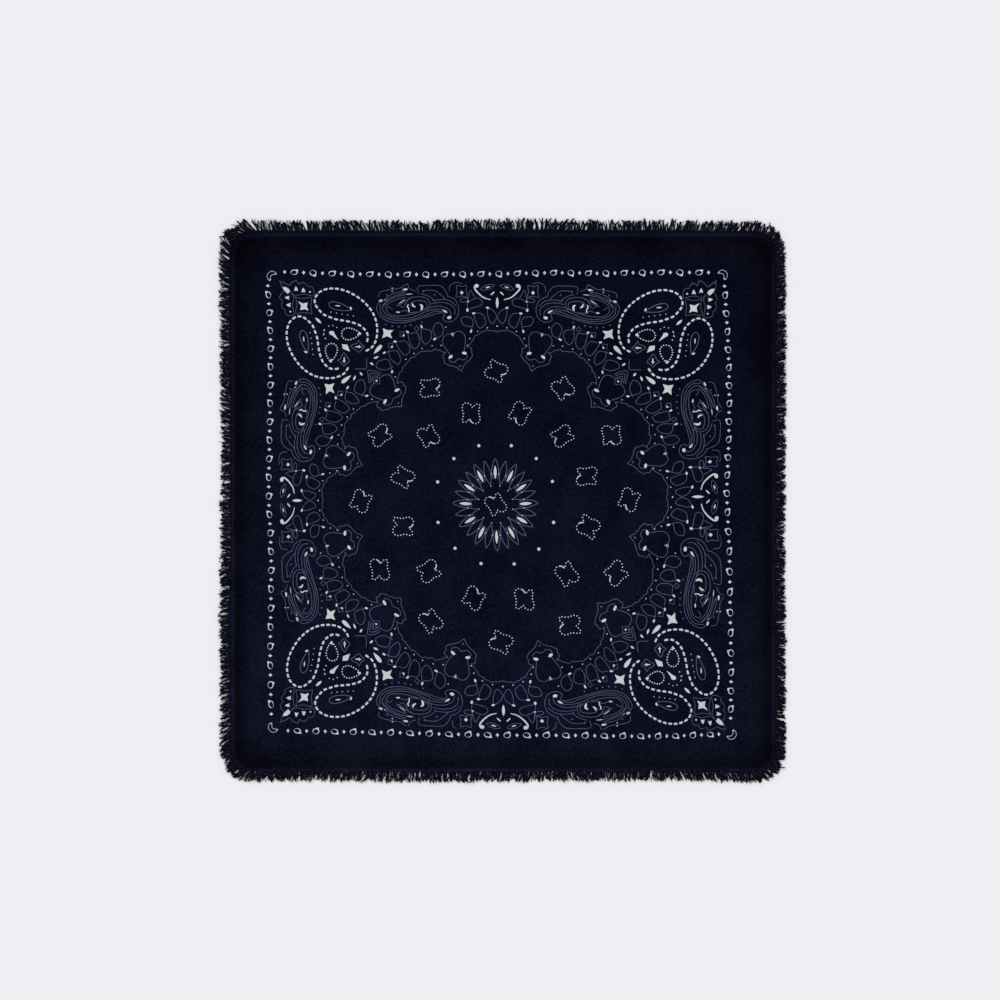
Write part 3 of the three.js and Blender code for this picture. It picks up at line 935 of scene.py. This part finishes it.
def cut_flat(places, edges, edge_count):
    """One flat triangulation: its points, its triangles, and where the first points given lie among them."""
    given = [Vector((p.real, p.imag)) for p in places]
    verts, _, triangles, came_from, _, _ = delaunay_2d_cdt(given, edges, [], 1, CUT_PRECISION, True)
    found = {k: made for made, givens in enumerate(came_from) for k in givens}
    lip = [found[k] for k in range(edge_count)]
    triangles = np.array(triangles)
    # slivers outside the wavy edge touch nothing but that edge
    return np.array([complex(*v) for v in verts]), triangles[~np.isin(triangles, lip).all(axis=1)], lip


flat = np.concatenate([ring(inset) + SHIFT for inset in RING_INSETS])
ring_count = len(outline)
columns = np.arange(-CLOTH_X / 2, CLOTH_X / 2, GRID_PITCH)
rows = np.arange(-CLOTH_Y / 2, CLOTH_Y / 2, GRID_PITCH)
grid = (columns[:, None] + 1j * rows[None, :]).ravel()
grid = grid[inset_of(grid)[0] > GRID_FROM]
shapes_from = len(flat) + len(grid)
edges = round_edges(ring_count) + [(shapes_from + a, shapes_from + b) for a, b in ink_edges]
top, triangles, lip = cut_flat(np.concatenate([flat, grid, np.array(ink_points)]), edges, ring_count)
print("triangles of the top:", len(triangles))


def ink_at(z):
    """0 for wool, 1 for bold ink, 2 for pale ink, 3 for fine ink."""
    for slot, ink in ((1, "bold"), (2, "pale"), (3, "fine")):
        if trees[ink].ray_cast(Vector((z.real, z.imag, 1.0)), Vector((0, 0, -1)))[0]:
            return slot
    return 0


finish = [ink_at(z) for z in top[triangles].mean(axis=1)]
print("triangles of bold, pale and fine ink:", [finish.count(slot) for slot in (1, 2, 3)])

# %% The closed cloth
UNDERSIDE_PITCH = 24.0
UNDERSIDE_REACH = 240
SOLE_BORDER = 3.0
NORMAL_STEP = 0.25
foot_ring = outline + SHIFT
sole_ring = ring(UNDERSIDE_INSET) + SHIFT
sole_line = np.arange(-UNDERSIDE_REACH, UNDERSIDE_REACH + 1, UNDERSIDE_PITCH)
sole_grid = (sole_line[:, None] + 1j * sole_line).ravel()
sole_places = np.concatenate([sole_ring, ring(UNDERSIDE_INSET + SOLE_BORDER) + SHIFT, sole_grid])
sole, sole_faces, sole_edge = cut_flat(sole_places, round_edges(ring_count), ring_count)

points = [(p.real, p.imag, h) for p, h in zip(top, height(top))]
foot_from = len(points)
points += [(p.real, p.imag, WALL_FOOT) for p in foot_ring]
sole_from = len(points)
points += [(p.real, p.imag, 0.0) for p in sole]
sole_lip = [sole_from + k for k in sole_edge]
faces = [tuple(int(k) for k in t) for t in triangles]
for k, after in round_edges(ring_count):
    faces.append((lip[after], lip[k], foot_from + k, foot_from + after))
    faces.append((foot_from + after, foot_from + k, sole_lip[k], sole_lip[after]))
faces += [tuple(sole_from + k for k in reversed(t)) for t in sole_faces.tolist()]
finish += [0] * (len(faces) - len(finish))

cloth = new_mesh_object("wool_square", [(x * MM, y * MM, z * MM) for x, y, z in points], faces)
cloth.data.polygons.foreach_set("material_index", finish)
cloth.data.shade_smooth()

# %% The cloth's normals
def slope(step):
    """How steeply the top of the cloth climbs along a small step."""
    return (height(top + step) - height(top - step)) / (2 * NORMAL_STEP)


outwards = [Vector((p.real, p.imag, 0)).normalized() for p in foot_ring]
normals = [Vector((-x, -y, 1)).normalized() for x, y in zip(slope(NORMAL_STEP), slope(1j * NORMAL_STEP))]
normals += outwards + [Vector((0, 0, -1))] * len(sole)
for k, out in zip(lip, outwards):
    normals[k] = (out + Vector((0, 0, 1))).normalized()
cloth.data.normals_split_custom_set_from_vertices(normals)
print("cloth faces:", len(cloth.data.polygons))
print("cloth triangles:", sum(len(p.vertices) - 2 for p in cloth.data.polygons))

# %% [markdown]
# The cloth's own UV map is a plan view. The wool takes fifteen sixteenths of its width, and the ink faces
# have the same plan squeezed into the strip beside it, so wool colour never bleeds into the ink where both
# are baked.

# %% UV map
UV_SPAN = 560.0
WOOL_SHARE = 0.9375
INK_FROM = 0.948
INK_SHARE = 0.045

coords = np.array([(x / UV_SPAN + 0.5, y / UV_SPAN + 0.5) for x, y, _ in points])
plan = cloth.data.uv_layers.new(name="OFBake")
corner_points = np.empty(len(cloth.data.loops), dtype=np.int32)
cloth.data.loops.foreach_get("vertex_index", corner_points)
corner_finish = np.repeat(finish, [len(face) for face in faces])
across_uv = coords[corner_points, 0]
across_uv = np.where(corner_finish == 0, across_uv * WOOL_SHARE, INK_FROM + across_uv * INK_SHARE)
plan.data.foreach_set("uv", np.column_stack([across_uv, coords[corner_points, 1]]).ravel())
print("uv range:", across_uv.min().round(3), across_uv.max().round(3))

# %% [markdown]
# The wool is woven and then felted, so it has a short nap over a weave that hardly shows. Its navy is nearly
# black, a little lighter and bluer where the nap stands up. A sheen would brighten every edge in the same
# way, but the photographed cloth stays matt, so a colour without gloss that is broken by noise does the work.
# The fulled rim gets a painted highlight and the band inside it gets painted shade, in place of the light and
# shadow of the raised rim. Both follow from the distance to the rounded edge, which the shader works out from
# Object coordinates. Painted shade dims the left and right rims more than the front and back ones, the
# corners are darker, and painted light makes the nap lighter towards the front.
# The three inks are the same wool with dye in it, so they share the nap and only the colour changes.

# %% A helper that wires nodes
class Wiring:
    """The nodes of one tree, added and wired line by line."""

    def __init__(self, tree):
        self.tree = tree

    def add(self, kind, inputs=None, out=0, **settings):
        """Adds a node with its inputs wired or set, and gives back one of its outputs."""
        node = self.tree.nodes.new(kind)
        for name, value in settings.items():
            setattr(node, name, value)
        for name, value in (inputs or {}).items():
            if isinstance(value, bpy.types.NodeSocket):
                self.tree.links.new(value, node.inputs[name])
            else:
                node.inputs[name].default_value = value
        return node.outputs[out]

    def sum(self, operation, a, b=0.0, c=0.0):
        return self.add("ShaderNodeMath", {0: a, 1: b, 2: c}, operation=operation)

    def plus(self, a, b):
        return self.sum("ADD", a, b)

    def times(self, a, b):
        return self.sum("MULTIPLY", a, b)

    def vector(self, operation, a, b=(0.0, 0.0, 0.0)):
        second = "Scale" if operation == "SCALE" else 1
        out = "Value" if operation in ("LENGTH", "DOT_PRODUCT") else "Vector"
        return self.add("ShaderNodeVectorMath", {0: a, second: b}, out, operation=operation)

    def span(self, value, start, end, low=0.0, high=1.0, **settings):
        """Turns a value between start and end into one between low and high."""
        limits = {"Value": value, "From Min": start, "From Max": end, "To Min": low, "To Max": high}
        return self.add("ShaderNodeMapRange", limits, **settings)

    def ramp(self, value, stops):
        """A colour for a value, from the stops of a ramp: pairs of a place and a colour."""
        colour = self.add("ShaderNodeValToRGB", {"Fac": value})
        elements = colour.node.color_ramp.elements
        for k, (place, tone) in enumerate(stops):
            stop = elements[k] if k < 2 else elements.new(1.0)
            stop.position = place
            stop.color = (*tone, 1.0)
        return colour

    def feed(self, shader, name, source):
        self.tree.links.new(source, shader.inputs[name])


# %% Felted wool
WOOL_DEEP = (0.0014, 0.0020, 0.0072)
WOOL_NAP = (0.0058, 0.0074, 0.0190)
BOLD_INK = (0.64, 0.63, 0.66)
PALE_INK = (0.615, 0.61, 0.73)
FINE_INK = (0.113, 0.128, 0.212)
NAP_SCALE = 480.0
NAP_RANGE = (0.58, 0.98)
MOTTLE_SCALE = 22.0
MOTTLE_SHARE = 0.55
WEAVE_SCALE = 65.0
WEAVE_SHARE = 0.16
RELIEF_STRENGTH = 0.55
WOOL_RELIEF = 0.5
INK_RELIEF = 0.22


def felt(name, dark, light, nap_depth):
    """Felted wool: a fibrous nap over a faint weave, with broad uneven patches."""
    made, shader = new_material(name, light, 0.95)
    shader.inputs["Specular IOR Level"].default_value = 0.0
    wires = Wiring(made.node_tree)
    place = wires.add("ShaderNodeTexCoord", out="Object")
    nap = wires.add("ShaderNodeTexNoise",
                    {"Vector": place, "Scale": NAP_SCALE, "Detail": 3.0, "Distortion": 0.6})
    mottle = wires.add("ShaderNodeTexNoise", {"Vector": place, "Scale": MOTTLE_SCALE, "Detail": 4.0})
    mixed = wires.sum("MULTIPLY_ADD", mottle, MOTTLE_SHARE, nap)
    wires.feed(shader, "Base Color", wires.ramp(mixed, zip(NAP_RANGE, (dark, light))))
    wave = {"Vector": place, "Scale": WEAVE_SCALE, "Distortion": 3.0, "Detail Scale": 4.0}
    threads = [wires.add("ShaderNodeTexWave", wave, "Fac", bands_direction=way) for way in "XY"]
    relief = wires.sum("MULTIPLY_ADD", wires.plus(*threads), WEAVE_SHARE, nap)
    bump = {"Height": relief, "Strength": RELIEF_STRENGTH, "Distance": nap_depth * MM}
    wires.feed(shader, "Normal", wires.add("ShaderNodeBump", bump))
    return made


# %% Painted light and shade of the rim
TONE_REACH = 40.0
# each tone: its distance in from the edge, and what it does to red, green and blue; above one it is a painted
# highlight on the raised rim, below one it is painted shade in the band inside it
RIM_LIGHT_AND_SHADE = (
    (0.0, (1.10, 1.10, 1.05)), (1.2, (1.40, 1.40, 1.30)), (2.6, (2.20, 2.25, 2.00)),
    (4.0, (1.30, 1.22, 1.05)), (5.8, (0.86, 0.74, 0.62)), (8.0, (0.78, 0.62, 0.48)),
    (12.0, (0.87, 0.72, 0.59)), (19.0, (1.03, 0.91, 0.80)), (30.0, (1.05, 1.01, 0.96)),
    (40.0, (1.0, 1.0, 1.0)),
)
# painted shade on the left and right rims, and how far in from the edge it reaches
SIDE_SHADE = 0.32
SIDE_SHADE_REACH = 20.0
RIM_SLIDE = (-0.4 * MM, 2.0 * MM, 0.0)
# painted light towards the front and painted shade towards the back, along this direction
PAINTED_SHADE_TOWARDS = (0.4, 1.0, 0.0)
FRONT_PAINTED_LIGHT = 1.34
BACK_PAINTED_SHADE = 0.80
CORNER_TONE = 0.62
CORNER_TONE_FROM = -24.0
CORNER_TONE_FULL = 7.2


def paint_light_and_shade_by_edge(made):
    """Paints light and shade on the wool by its distance in from the rounded edge, and from back to front."""
    wires = Wiring(made.node_tree)
    shader = made.node_tree.nodes["Principled BSDF"]
    colour = shader.inputs["Base Color"].links[0].from_socket
    place = wires.add("ShaderNodeTexCoord", out="Object")
    folded = wires.vector("ABSOLUTE", wires.vector("ADD", place, RIM_SLIDE))
    inner = ((CLOTH_X / 2 - CORNER_R) * MM, (CLOTH_Y / 2 - CORNER_R) * MM, 0)
    past = wires.vector("SUBTRACT", wires.vector("MULTIPLY", folded, (1.0, 1.0, 0.0)), inner)
    past_x = wires.add("ShaderNodeSeparateXYZ", {0: past}, "X")
    past_y = wires.add("ShaderNodeSeparateXYZ", {0: past}, "Y")
    inside = wires.sum("MINIMUM", wires.sum("MAXIMUM", past_x, past_y), 0.0)
    beyond = wires.plus(wires.vector("LENGTH", wires.vector("MAXIMUM", past)), inside)
    share = wires.sum("DIVIDE", wires.sum("SUBTRACT", beyond, CORNER_R * MM), -TONE_REACH * MM)

    def rim_light_and_shade(dimming):
        """The painted highlight and shade of the rim, dimmed by more painted shade the nearer it lies to the
        edge.
        """
        stops = []
        for inset, tone in RIM_LIGHT_AND_SHADE:
            dim = 1 - dimming * max(0.0, 1 - inset / SIDE_SHADE_REACH)
            stops.append((inset / TONE_REACH, tuple(dim * c for c in tone)))
        return wires.ramp(share, stops)

    # the left and right rims take the extra painted shade, the front and back rims do not
    half_corner = CORNER_R / 2 * MM
    which = wires.span(wires.sum("SUBTRACT", past_y, past_x), -half_corner, half_corner)
    rims = {"Factor": which, 6: rim_light_and_shade(SIDE_SHADE), 7: rim_light_and_shade(0.0)}
    toned = wires.vector("MULTIPLY", colour, wires.add("ShaderNodeMix", rims, 2, data_type="RGBA"))
    # painted light in front fading to painted shade behind
    half_length = CLOTH_Y / 2 * MM
    forward = wires.vector("DOT_PRODUCT", place, PAINTED_SHADE_TOWARDS)
    lengthwise = wires.span(forward, -half_length, half_length, FRONT_PAINTED_LIGHT, BACK_PAINTED_SHADE)
    cornered = wires.span(wires.sum("MINIMUM", past_x, past_y), CORNER_TONE_FROM * MM, CORNER_TONE_FULL * MM,
                          1.0, CORNER_TONE, interpolation_type="SMOOTHSTEP")
    wires.feed(shader, "Base Color", wires.vector("SCALE", toned, wires.times(lengthwise, cornered)))
    return made

# %% The finishes of the cloth
# each ink: its name, its colour and how dark it is between the naps
INKS = (("off_white_ink", BOLD_INK, 0.8), ("pale_ink", PALE_INK, 0.8), ("grey_line_ink", FINE_INK, 0.7))
# the navy wool carries the painted highlight and painted shade of the rim
cloth.data.materials.append(paint_light_and_shade_by_edge(felt("navy_wool", WOOL_DEEP, WOOL_NAP, WOOL_RELIEF)))
for name, colour, shadow in INKS:
    cloth.data.materials.append(felt(name, tuple(shadow * c for c in colour), colour, INK_RELIEF))
print("materials of the cloth:", [m.name for m in cloth.data.materials])

# %% [markdown]
# The fringe is the cloth's own yarns with the cross threads pulled out: about a thousand loose ends on each
# side, felted together a little into ragged tufts. Hair particles could make them, but Geometry Nodes give
# plain meshes with every size as a named input. One short tube is made, set on points along the edge, turned
# outwards, made real, and then each of its points is moved by the lean, the tuft and the droop of its own
# yarn.
# The sides were not frayed alike, so a small table gives each its own count, length, roots and gathers.

# %% Geometry Nodes with named sizes
NAMED_VALUES = ("run", "comb", "full", "way", "away", "share", "tuft", "within", "length", "yarn")


class Tree(Wiring):
    """A Geometry Nodes tree with named sizes, which grows a mesh on a path."""

    def __init__(self, name, sizes):
        super().__init__(bpy.data.node_groups.new(name, "GeometryNodeTree"))
        face = self.tree.interface
        for way in ("INPUT", "OUTPUT"):
            face.new_socket(name="Geometry", in_out=way, socket_type="NodeSocketGeometry")
        self.keys = {}
        for label, value in sizes.items():
            kind = "NodeSocketInt" if isinstance(value, int) else "NodeSocketFloat"
            self.keys[label] = face.new_socket(name=label, in_out="INPUT", socket_type=kind).identifier
        self.given = self.tree.nodes.new("NodeGroupInput").outputs

    def named(self, name, kind="FLOAT"):
        return self.add("GeometryNodeInputNamedAttribute", {"Name": name}, data_type=kind)

    def keep(self, geometry, name, value, kind="FLOAT"):
        """Stores a value under a name on each point."""
        inputs = {"Geometry": geometry, "Name": name, "Value": value}
        return self.add("GeometryNodeStoreNamedAttribute", inputs, data_type=kind, domain="POINT")

    def chance(self, low, high, number, salt=0.0):
        """A random value between low and high for each number, fixed by the tree's seed and a salt."""
        seed = self.plus(self.given["Seed"], salt)
        return self.add("FunctionNodeRandomValue", {2: low, 3: high, "ID": number, "Seed": seed}, out=1)

    def line_points(self, sampling, **settings):
        """Points spread along the path that the tree runs on."""
        path = self.add("GeometryNodeMeshToCurve", {"Mesh": self.given["Geometry"]})
        path = self.add("GeometryNodeResampleCurve", {"Curve": path, **sampling}, **settings)
        return self.add("GeometryNodeCurveToPoints", {"Curve": path}, mode="EVALUATED")

    def set_on(self, points, shape, facing, scale):
        """A real copy of a shape on each point, turned to face along a named direction."""
        turned = self.add("FunctionNodeAlignRotationToVector", {"Vector": facing}, axis="X")
        inputs = {"Points": points, "Instance": shape, "Rotation": turned, "Scale": scale}
        copies = self.add("GeometryNodeInstanceOnPoints", inputs)
        return self.add("GeometryNodeRealizeInstances", {"Geometry": copies})

    def end(self, geometry, material):
        geometry = self.add("GeometryNodeSetMaterial", {"Geometry": geometry, "Material": material})
        self.tree.links.new(geometry, self.tree.nodes.new("NodeGroupOutput").inputs[0])

    def run(self, name, path, sizes):
        """Runs the tree on a path and gives back its result as a plain mesh object."""
        modifier = path.modifiers.new("grow", "NODES")
        modifier.node_group = self.tree
        for label, value in sizes.items():
            modifier[self.keys[label]] = value
        graph = bpy.context.evaluated_depsgraph_get()
        grown = path.evaluated_get(graph)
        mesh = bpy.data.meshes.new_from_object(grown, preserve_all_data_layers=True, depsgraph=graph)
        path.modifiers.remove(modifier)
        bpy.data.objects.remove(path)
        for spare in [a.name for a in mesh.attributes if a.name in NAMED_VALUES]:
            mesh.attributes.remove(mesh.attributes[spare])
        mesh.shade_smooth()
        made = bpy.data.objects.new(name, mesh)
        scene.collection.objects.link(made)
        return made


# %% The yarn tree
YARN_SIZES = {
    "Yarns": 900,
    "Length": 0.0107,
    "Uneven length": 0.24,
    "Thickness": 0.00078,
    "Tuft": 2.4,
    "Gather": 0.62,
    "Tuft lean": 0.22,
    "Stray": 0.15,
    "Rise": 0.0011,
    "Seed": 11,
}
YARN_STEPS = 6
YARN_SIDES = 5
WARP_PACE = 0.19
WARP_SIZE = 16.0
TUFT_GROWTH = 0.5
YARN_GROWTH = 0.85
ROOT_RADIUS = 0.72
TIP_LOSS = -0.5
TAPER_POWER = 0.8
THINNEST, THICKEST = 0.3, 1.15
FLATNESS = 0.65
BOW = 0.4
DROOP, LIFT = -0.1, 1.0

fray = Tree("yarn_fringe", YARN_SIZES)
given = fray.given
roots = fray.line_points({"Count": given["Yarns"]})
number = fray.add("GeometryNodeInputIndex")
roots = fray.keep(roots, "yarn", number, "INT")

# the tuft of a yarn comes from its place along the side, warped so that no two tufts are alike
run = fray.named("run")
warp = {"W": fray.times(run, WARP_PACE), "Scale": 1.0, "Detail": 1.0}
warp = fray.add("ShaderNodeTexNoise", warp, noise_dimensions="1D")
warped = fray.sum("MULTIPLY_ADD", warp, WARP_SIZE, run)
tufts = fray.sum("DIVIDE", warped, given["Tuft"])
tuft = fray.sum("FLOOR", tufts)
within = fray.sum("SUBTRACT", fray.sum("FRACT", tufts), 0.5)
roots = fray.keep(roots, "tuft", tuft)
roots = fray.keep(roots, "within", fray.times(within, fray.times(given["Tuft"], MM)))

tuft_grow = fray.times(fray.chance(-1.0, 1.0, tuft), TUFT_GROWTH)
yarn_grow = fray.times(fray.chance(-1.0, 0.8, number, 1.0), YARN_GROWTH)
uneven = fray.sum("MULTIPLY_ADD", fray.plus(tuft_grow, yarn_grow), given["Uneven length"], 1.0)
length = fray.times(given["Length"], uneven)
roots = fray.keep(roots, "length", length)

# one yarn: a straight tapered tube one unit long, with its share of the length kept on each point
tube = fray.add("GeometryNodeCurvePrimitiveLine", {"Start": (0.0, 0.0, 0.0), "End": (1.0, 0.0, 0.0)})
tube = fray.add("GeometryNodeResampleCurve", {"Curve": tube, "Count": YARN_STEPS})
share = fray.add("GeometryNodeSplineParameter")
tube = fray.keep(tube, "share", share)
taper = fray.sum("MULTIPLY_ADD", fray.sum("POWER", share, TAPER_POWER), TIP_LOSS, ROOT_RADIUS)
tube = fray.add("GeometryNodeSetCurveRadius", {"Curve": tube, "Radius": taper})
profile = fray.add("GeometryNodeCurvePrimitiveCircle", {"Resolution": YARN_SIDES, "Radius": 1.0})
tube = fray.add("GeometryNodeCurveToMesh", {"Curve": tube, "Profile Curve": profile, "Fill Caps": True})

thick = fray.times(given["Thickness"], fray.chance(THINNEST, THICKEST, number, 2.0))
thick = fray.times(thick, fray.named("full"))
stretch = fray.add("ShaderNodeCombineXYZ", {0: length, 1: thick, 2: fray.times(thick, FLATNESS)})
yarns = fray.set_on(roots, tube, fray.named("away", "FLOAT_VECTOR"), stretch)

# %% Each point of a yarn is moved sideways and up, more the nearer it is to the tip
share = fray.named("share")
yarn = fray.named("yarn", "INT")
tuft_lean = fray.times(fray.chance(-1.0, 1.0, fray.named("tuft"), 3.0), given["Tuft lean"])
yarn_lean = fray.times(fray.chance(-1.0, 1.0, yarn, 4.0), given["Stray"])
lean = fray.plus(fray.plus(tuft_lean, yarn_lean), fray.named("comb"))
bow = fray.times(fray.chance(-BOW, BOW, yarn, 5.0), share)
aside = fray.times(fray.times(share, fray.named("length")), fray.plus(lean, bow))
drawn_in = fray.times(fray.sum("MULTIPLY_ADD", share, 0.5, 0.5), given["Gather"])
aside = fray.sum("SUBTRACT", aside, fray.times(fray.named("within"), drawn_in))
beside = fray.vector("CROSS_PRODUCT", (0.0, 0.0, 1.0), fray.named("away", "FLOAT_VECTOR"))
up = fray.times(fray.times(fray.chance(DROOP, LIFT, yarn, 6.0), given["Rise"]), share)
offset = fray.vector("ADD", fray.vector("SCALE", beside, aside), fray.add("ShaderNodeCombineXYZ", {2: up}))
yarns = fray.add("GeometryNodeSetPosition", {"Geometry": yarns, "Offset": offset})
print("yarn tree nodes:", len(fray.tree.nodes))

# %% Fringe material
YARN_DARK = (0.0007, 0.00055, 0.0030)
YARN_LIGHT = (0.0290, 0.02625, 0.0480)
YARN_RANGE = (0.45, 0.80)


def fibres(made, shader, scale, strength, depth):
    """Gives a fibre's material its fine relief, and gives back the noise that makes it."""
    wires = Wiring(made.node_tree)
    place = wires.add("ShaderNodeTexCoord", out="Object")
    noise = wires.add("ShaderNodeTexNoise", {"Vector": place, "Scale": scale})
    bump = {"Height": noise, "Strength": strength, "Distance": depth * MM}
    wires.feed(shader, "Normal", wires.add("ShaderNodeBump", bump))
    return noise


yarn_wool, yarn_shader = new_material("fringe_yarn", YARN_LIGHT, 0.9)
yarn_shader.inputs["Specular IOR Level"].default_value = 0.03
fibre = fibres(yarn_wool, yarn_shader, scale=700.0, strength=0.6, depth=0.2)
wires = Wiring(yarn_wool.node_tree)
wires.feed(yarn_shader, "Base Color", wires.ramp(fibre, zip(YARN_RANGE, (YARN_DARK, YARN_LIGHT))))
fray.end(yarns, yarn_wool)

# %% The line that each fringe grows from
ROOT_HEIGHT = 0.72
CORNER_FAN = 0.25
CORNER_FAN_REACH = 34.0
BROAD_FAN = 0.36
CORNER_FULLNESS = 0.7
CORNER_FULLNESS_REACH = 16.0
# each wave of the combing: its size, its reach and how far it is moved on from side to side
COMB_WAVES = ((0.16, 21.0, 1.7), (0.12, 9.0, 1.0))
SIDES = {
    "fringe_right": {"yarns": 1100, "length": 0.82, "root_inset": 0.4, "gather": 0.45, "comb": 0.0},
    "fringe_back": {"yarns": 740, "length": 1.01, "root_inset": 2.2, "gather": 0.6, "comb": 0.06},
    "fringe_left": {"yarns": 880, "length": 0.96, "root_inset": 1.6, "gather": 0.5, "comb": 0.0},
    "fringe_front": {"yarns": 1000, "length": 0.88, "root_inset": 0.4, "gather": 0.5, "comb": 0.0},
}


def path_object(name, places, heights, edges, **values):
    """A line of points as an object, with named values on its points for a tree to read."""
    verts = [(p.real * MM, p.imag * MM, h * MM) for p, h in zip(places, heights)]
    made = new_mesh_object(name, verts, [], edges)
    for label, value in values.items():
        if np.iscomplexobj(value):
            kept = made.data.attributes.new(label, "FLOAT_VECTOR", "POINT")
            kept.data.foreach_set("vector", np.column_stack([value.real, value.imag, 0 * value.real]).ravel())
        else:
            made.data.attributes.new(label, "FLOAT", "POINT").data.foreach_set("value", value)
    return made


def root_path(turn, name, side):
    """The line that a side's yarns grow from: their way out, place, fullness and combing."""
    end = side_length(turn)
    along = np.append(stations(turn), end)
    places, angles = edge_at(turn, along, -side["root_inset"])
    to_end = end - along
    fan = np.exp(-to_end / CORNER_FAN_REACH) - np.exp(-along / CORNER_FAN_REACH)
    near_corner = np.exp(-to_end / CORNER_FULLNESS_REACH) + np.exp(-along / CORNER_FULLNESS_REACH)
    waves = sum(size * np.sin(along / reach + on * turn) for size, reach, on in COMB_WAVES)
    broad = BROAD_FAN * (along - to_end) / end
    values = {"away": np.cos(angles) + 1j * np.sin(angles), "run": along}
    values["full"] = 1 + CORNER_FULLNESS * near_corner
    values["comb"] = CORNER_FAN * fan + broad + side["comb"] + waves
    heights = np.full(len(along), ROOT_HEIGHT)
    return path_object(name, places + SHIFT, heights, round_edges(len(along))[:-1], **values)

# %% Growing the four fringes
SEED_STEP = 20
fringes = []
for turn, (name, side) in enumerate(SIDES.items()):
    sizes = {**YARN_SIZES, "Yarns": side["yarns"], "Gather": side["gather"]}
    sizes["Length"] = side["length"] * YARN_SIZES["Length"]
    sizes["Seed"] = YARN_SIZES["Seed"] + SEED_STEP * turn
    fringes.append(fray.run(name.replace("fringe", "yarns"), root_path(turn, name, side), sizes))
    print(fringes[-1].name, "faces:", len(fringes[-1].data.polygons))

# %% [markdown]
# The locking seam holds the fringe: one row of short stitches in the groove inside the rim. It is a closed
# line, resampled to the stitch length, with one small rounded stitch set on each point along the line.

# %% Seam stitches
STITCH_SIZES = {"Pitch": 0.0029, "Length": 0.0024, "Thickness": 0.00062}
SEAM_INSET = 6.3
SEAM_SINK = 0.06
THREAD_COLOUR = (0.0032, 0.0040, 0.0105)

sewing = Tree("seam_stitches", STITCH_SIZES)
given = sewing.given
holes = sewing.line_points({"Length": given["Pitch"]}, mode="LENGTH")
bead = sewing.add("GeometryNodeMeshUVSphere", {"Segments": 6, "Rings": 5, "Radius": 0.5})
thick = given["Thickness"]
stretch = sewing.add("ShaderNodeCombineXYZ", {0: given["Length"], 1: thick, 2: thick})
stitches = sewing.set_on(holes, bead, sewing.named("way", "FLOAT_VECTOR"), stretch)

thread, thread_shader = new_material("seam_thread", THREAD_COLOUR, 0.7)
thread_shader.inputs["Specular IOR Level"].default_value = 0.05
fibres(thread, thread_shader, scale=1600.0, strength=1.0, depth=0.1)
sewing.end(stitches, thread)

seam = ring(SEAM_INSET) + SHIFT
seam_path = path_object("seam_path", seam, height(seam) - SEAM_SINK, round_edges(len(seam)),
                        way=np.roll(seam, -1) - np.roll(seam, 1))
seam_stitches = sewing.run("seam_stitches", seam_path, STITCH_SIZES)
print("seam stitches:", len(seam_stitches.data.polygons), "faces")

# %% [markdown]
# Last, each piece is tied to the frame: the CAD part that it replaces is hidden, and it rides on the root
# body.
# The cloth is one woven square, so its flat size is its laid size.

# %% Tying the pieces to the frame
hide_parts("cloth_square")
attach(cloth, "root")
for piece, name in zip(fringes, SIDES):
    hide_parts(name)
    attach(piece, "root")
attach(seam_stitches, "root")
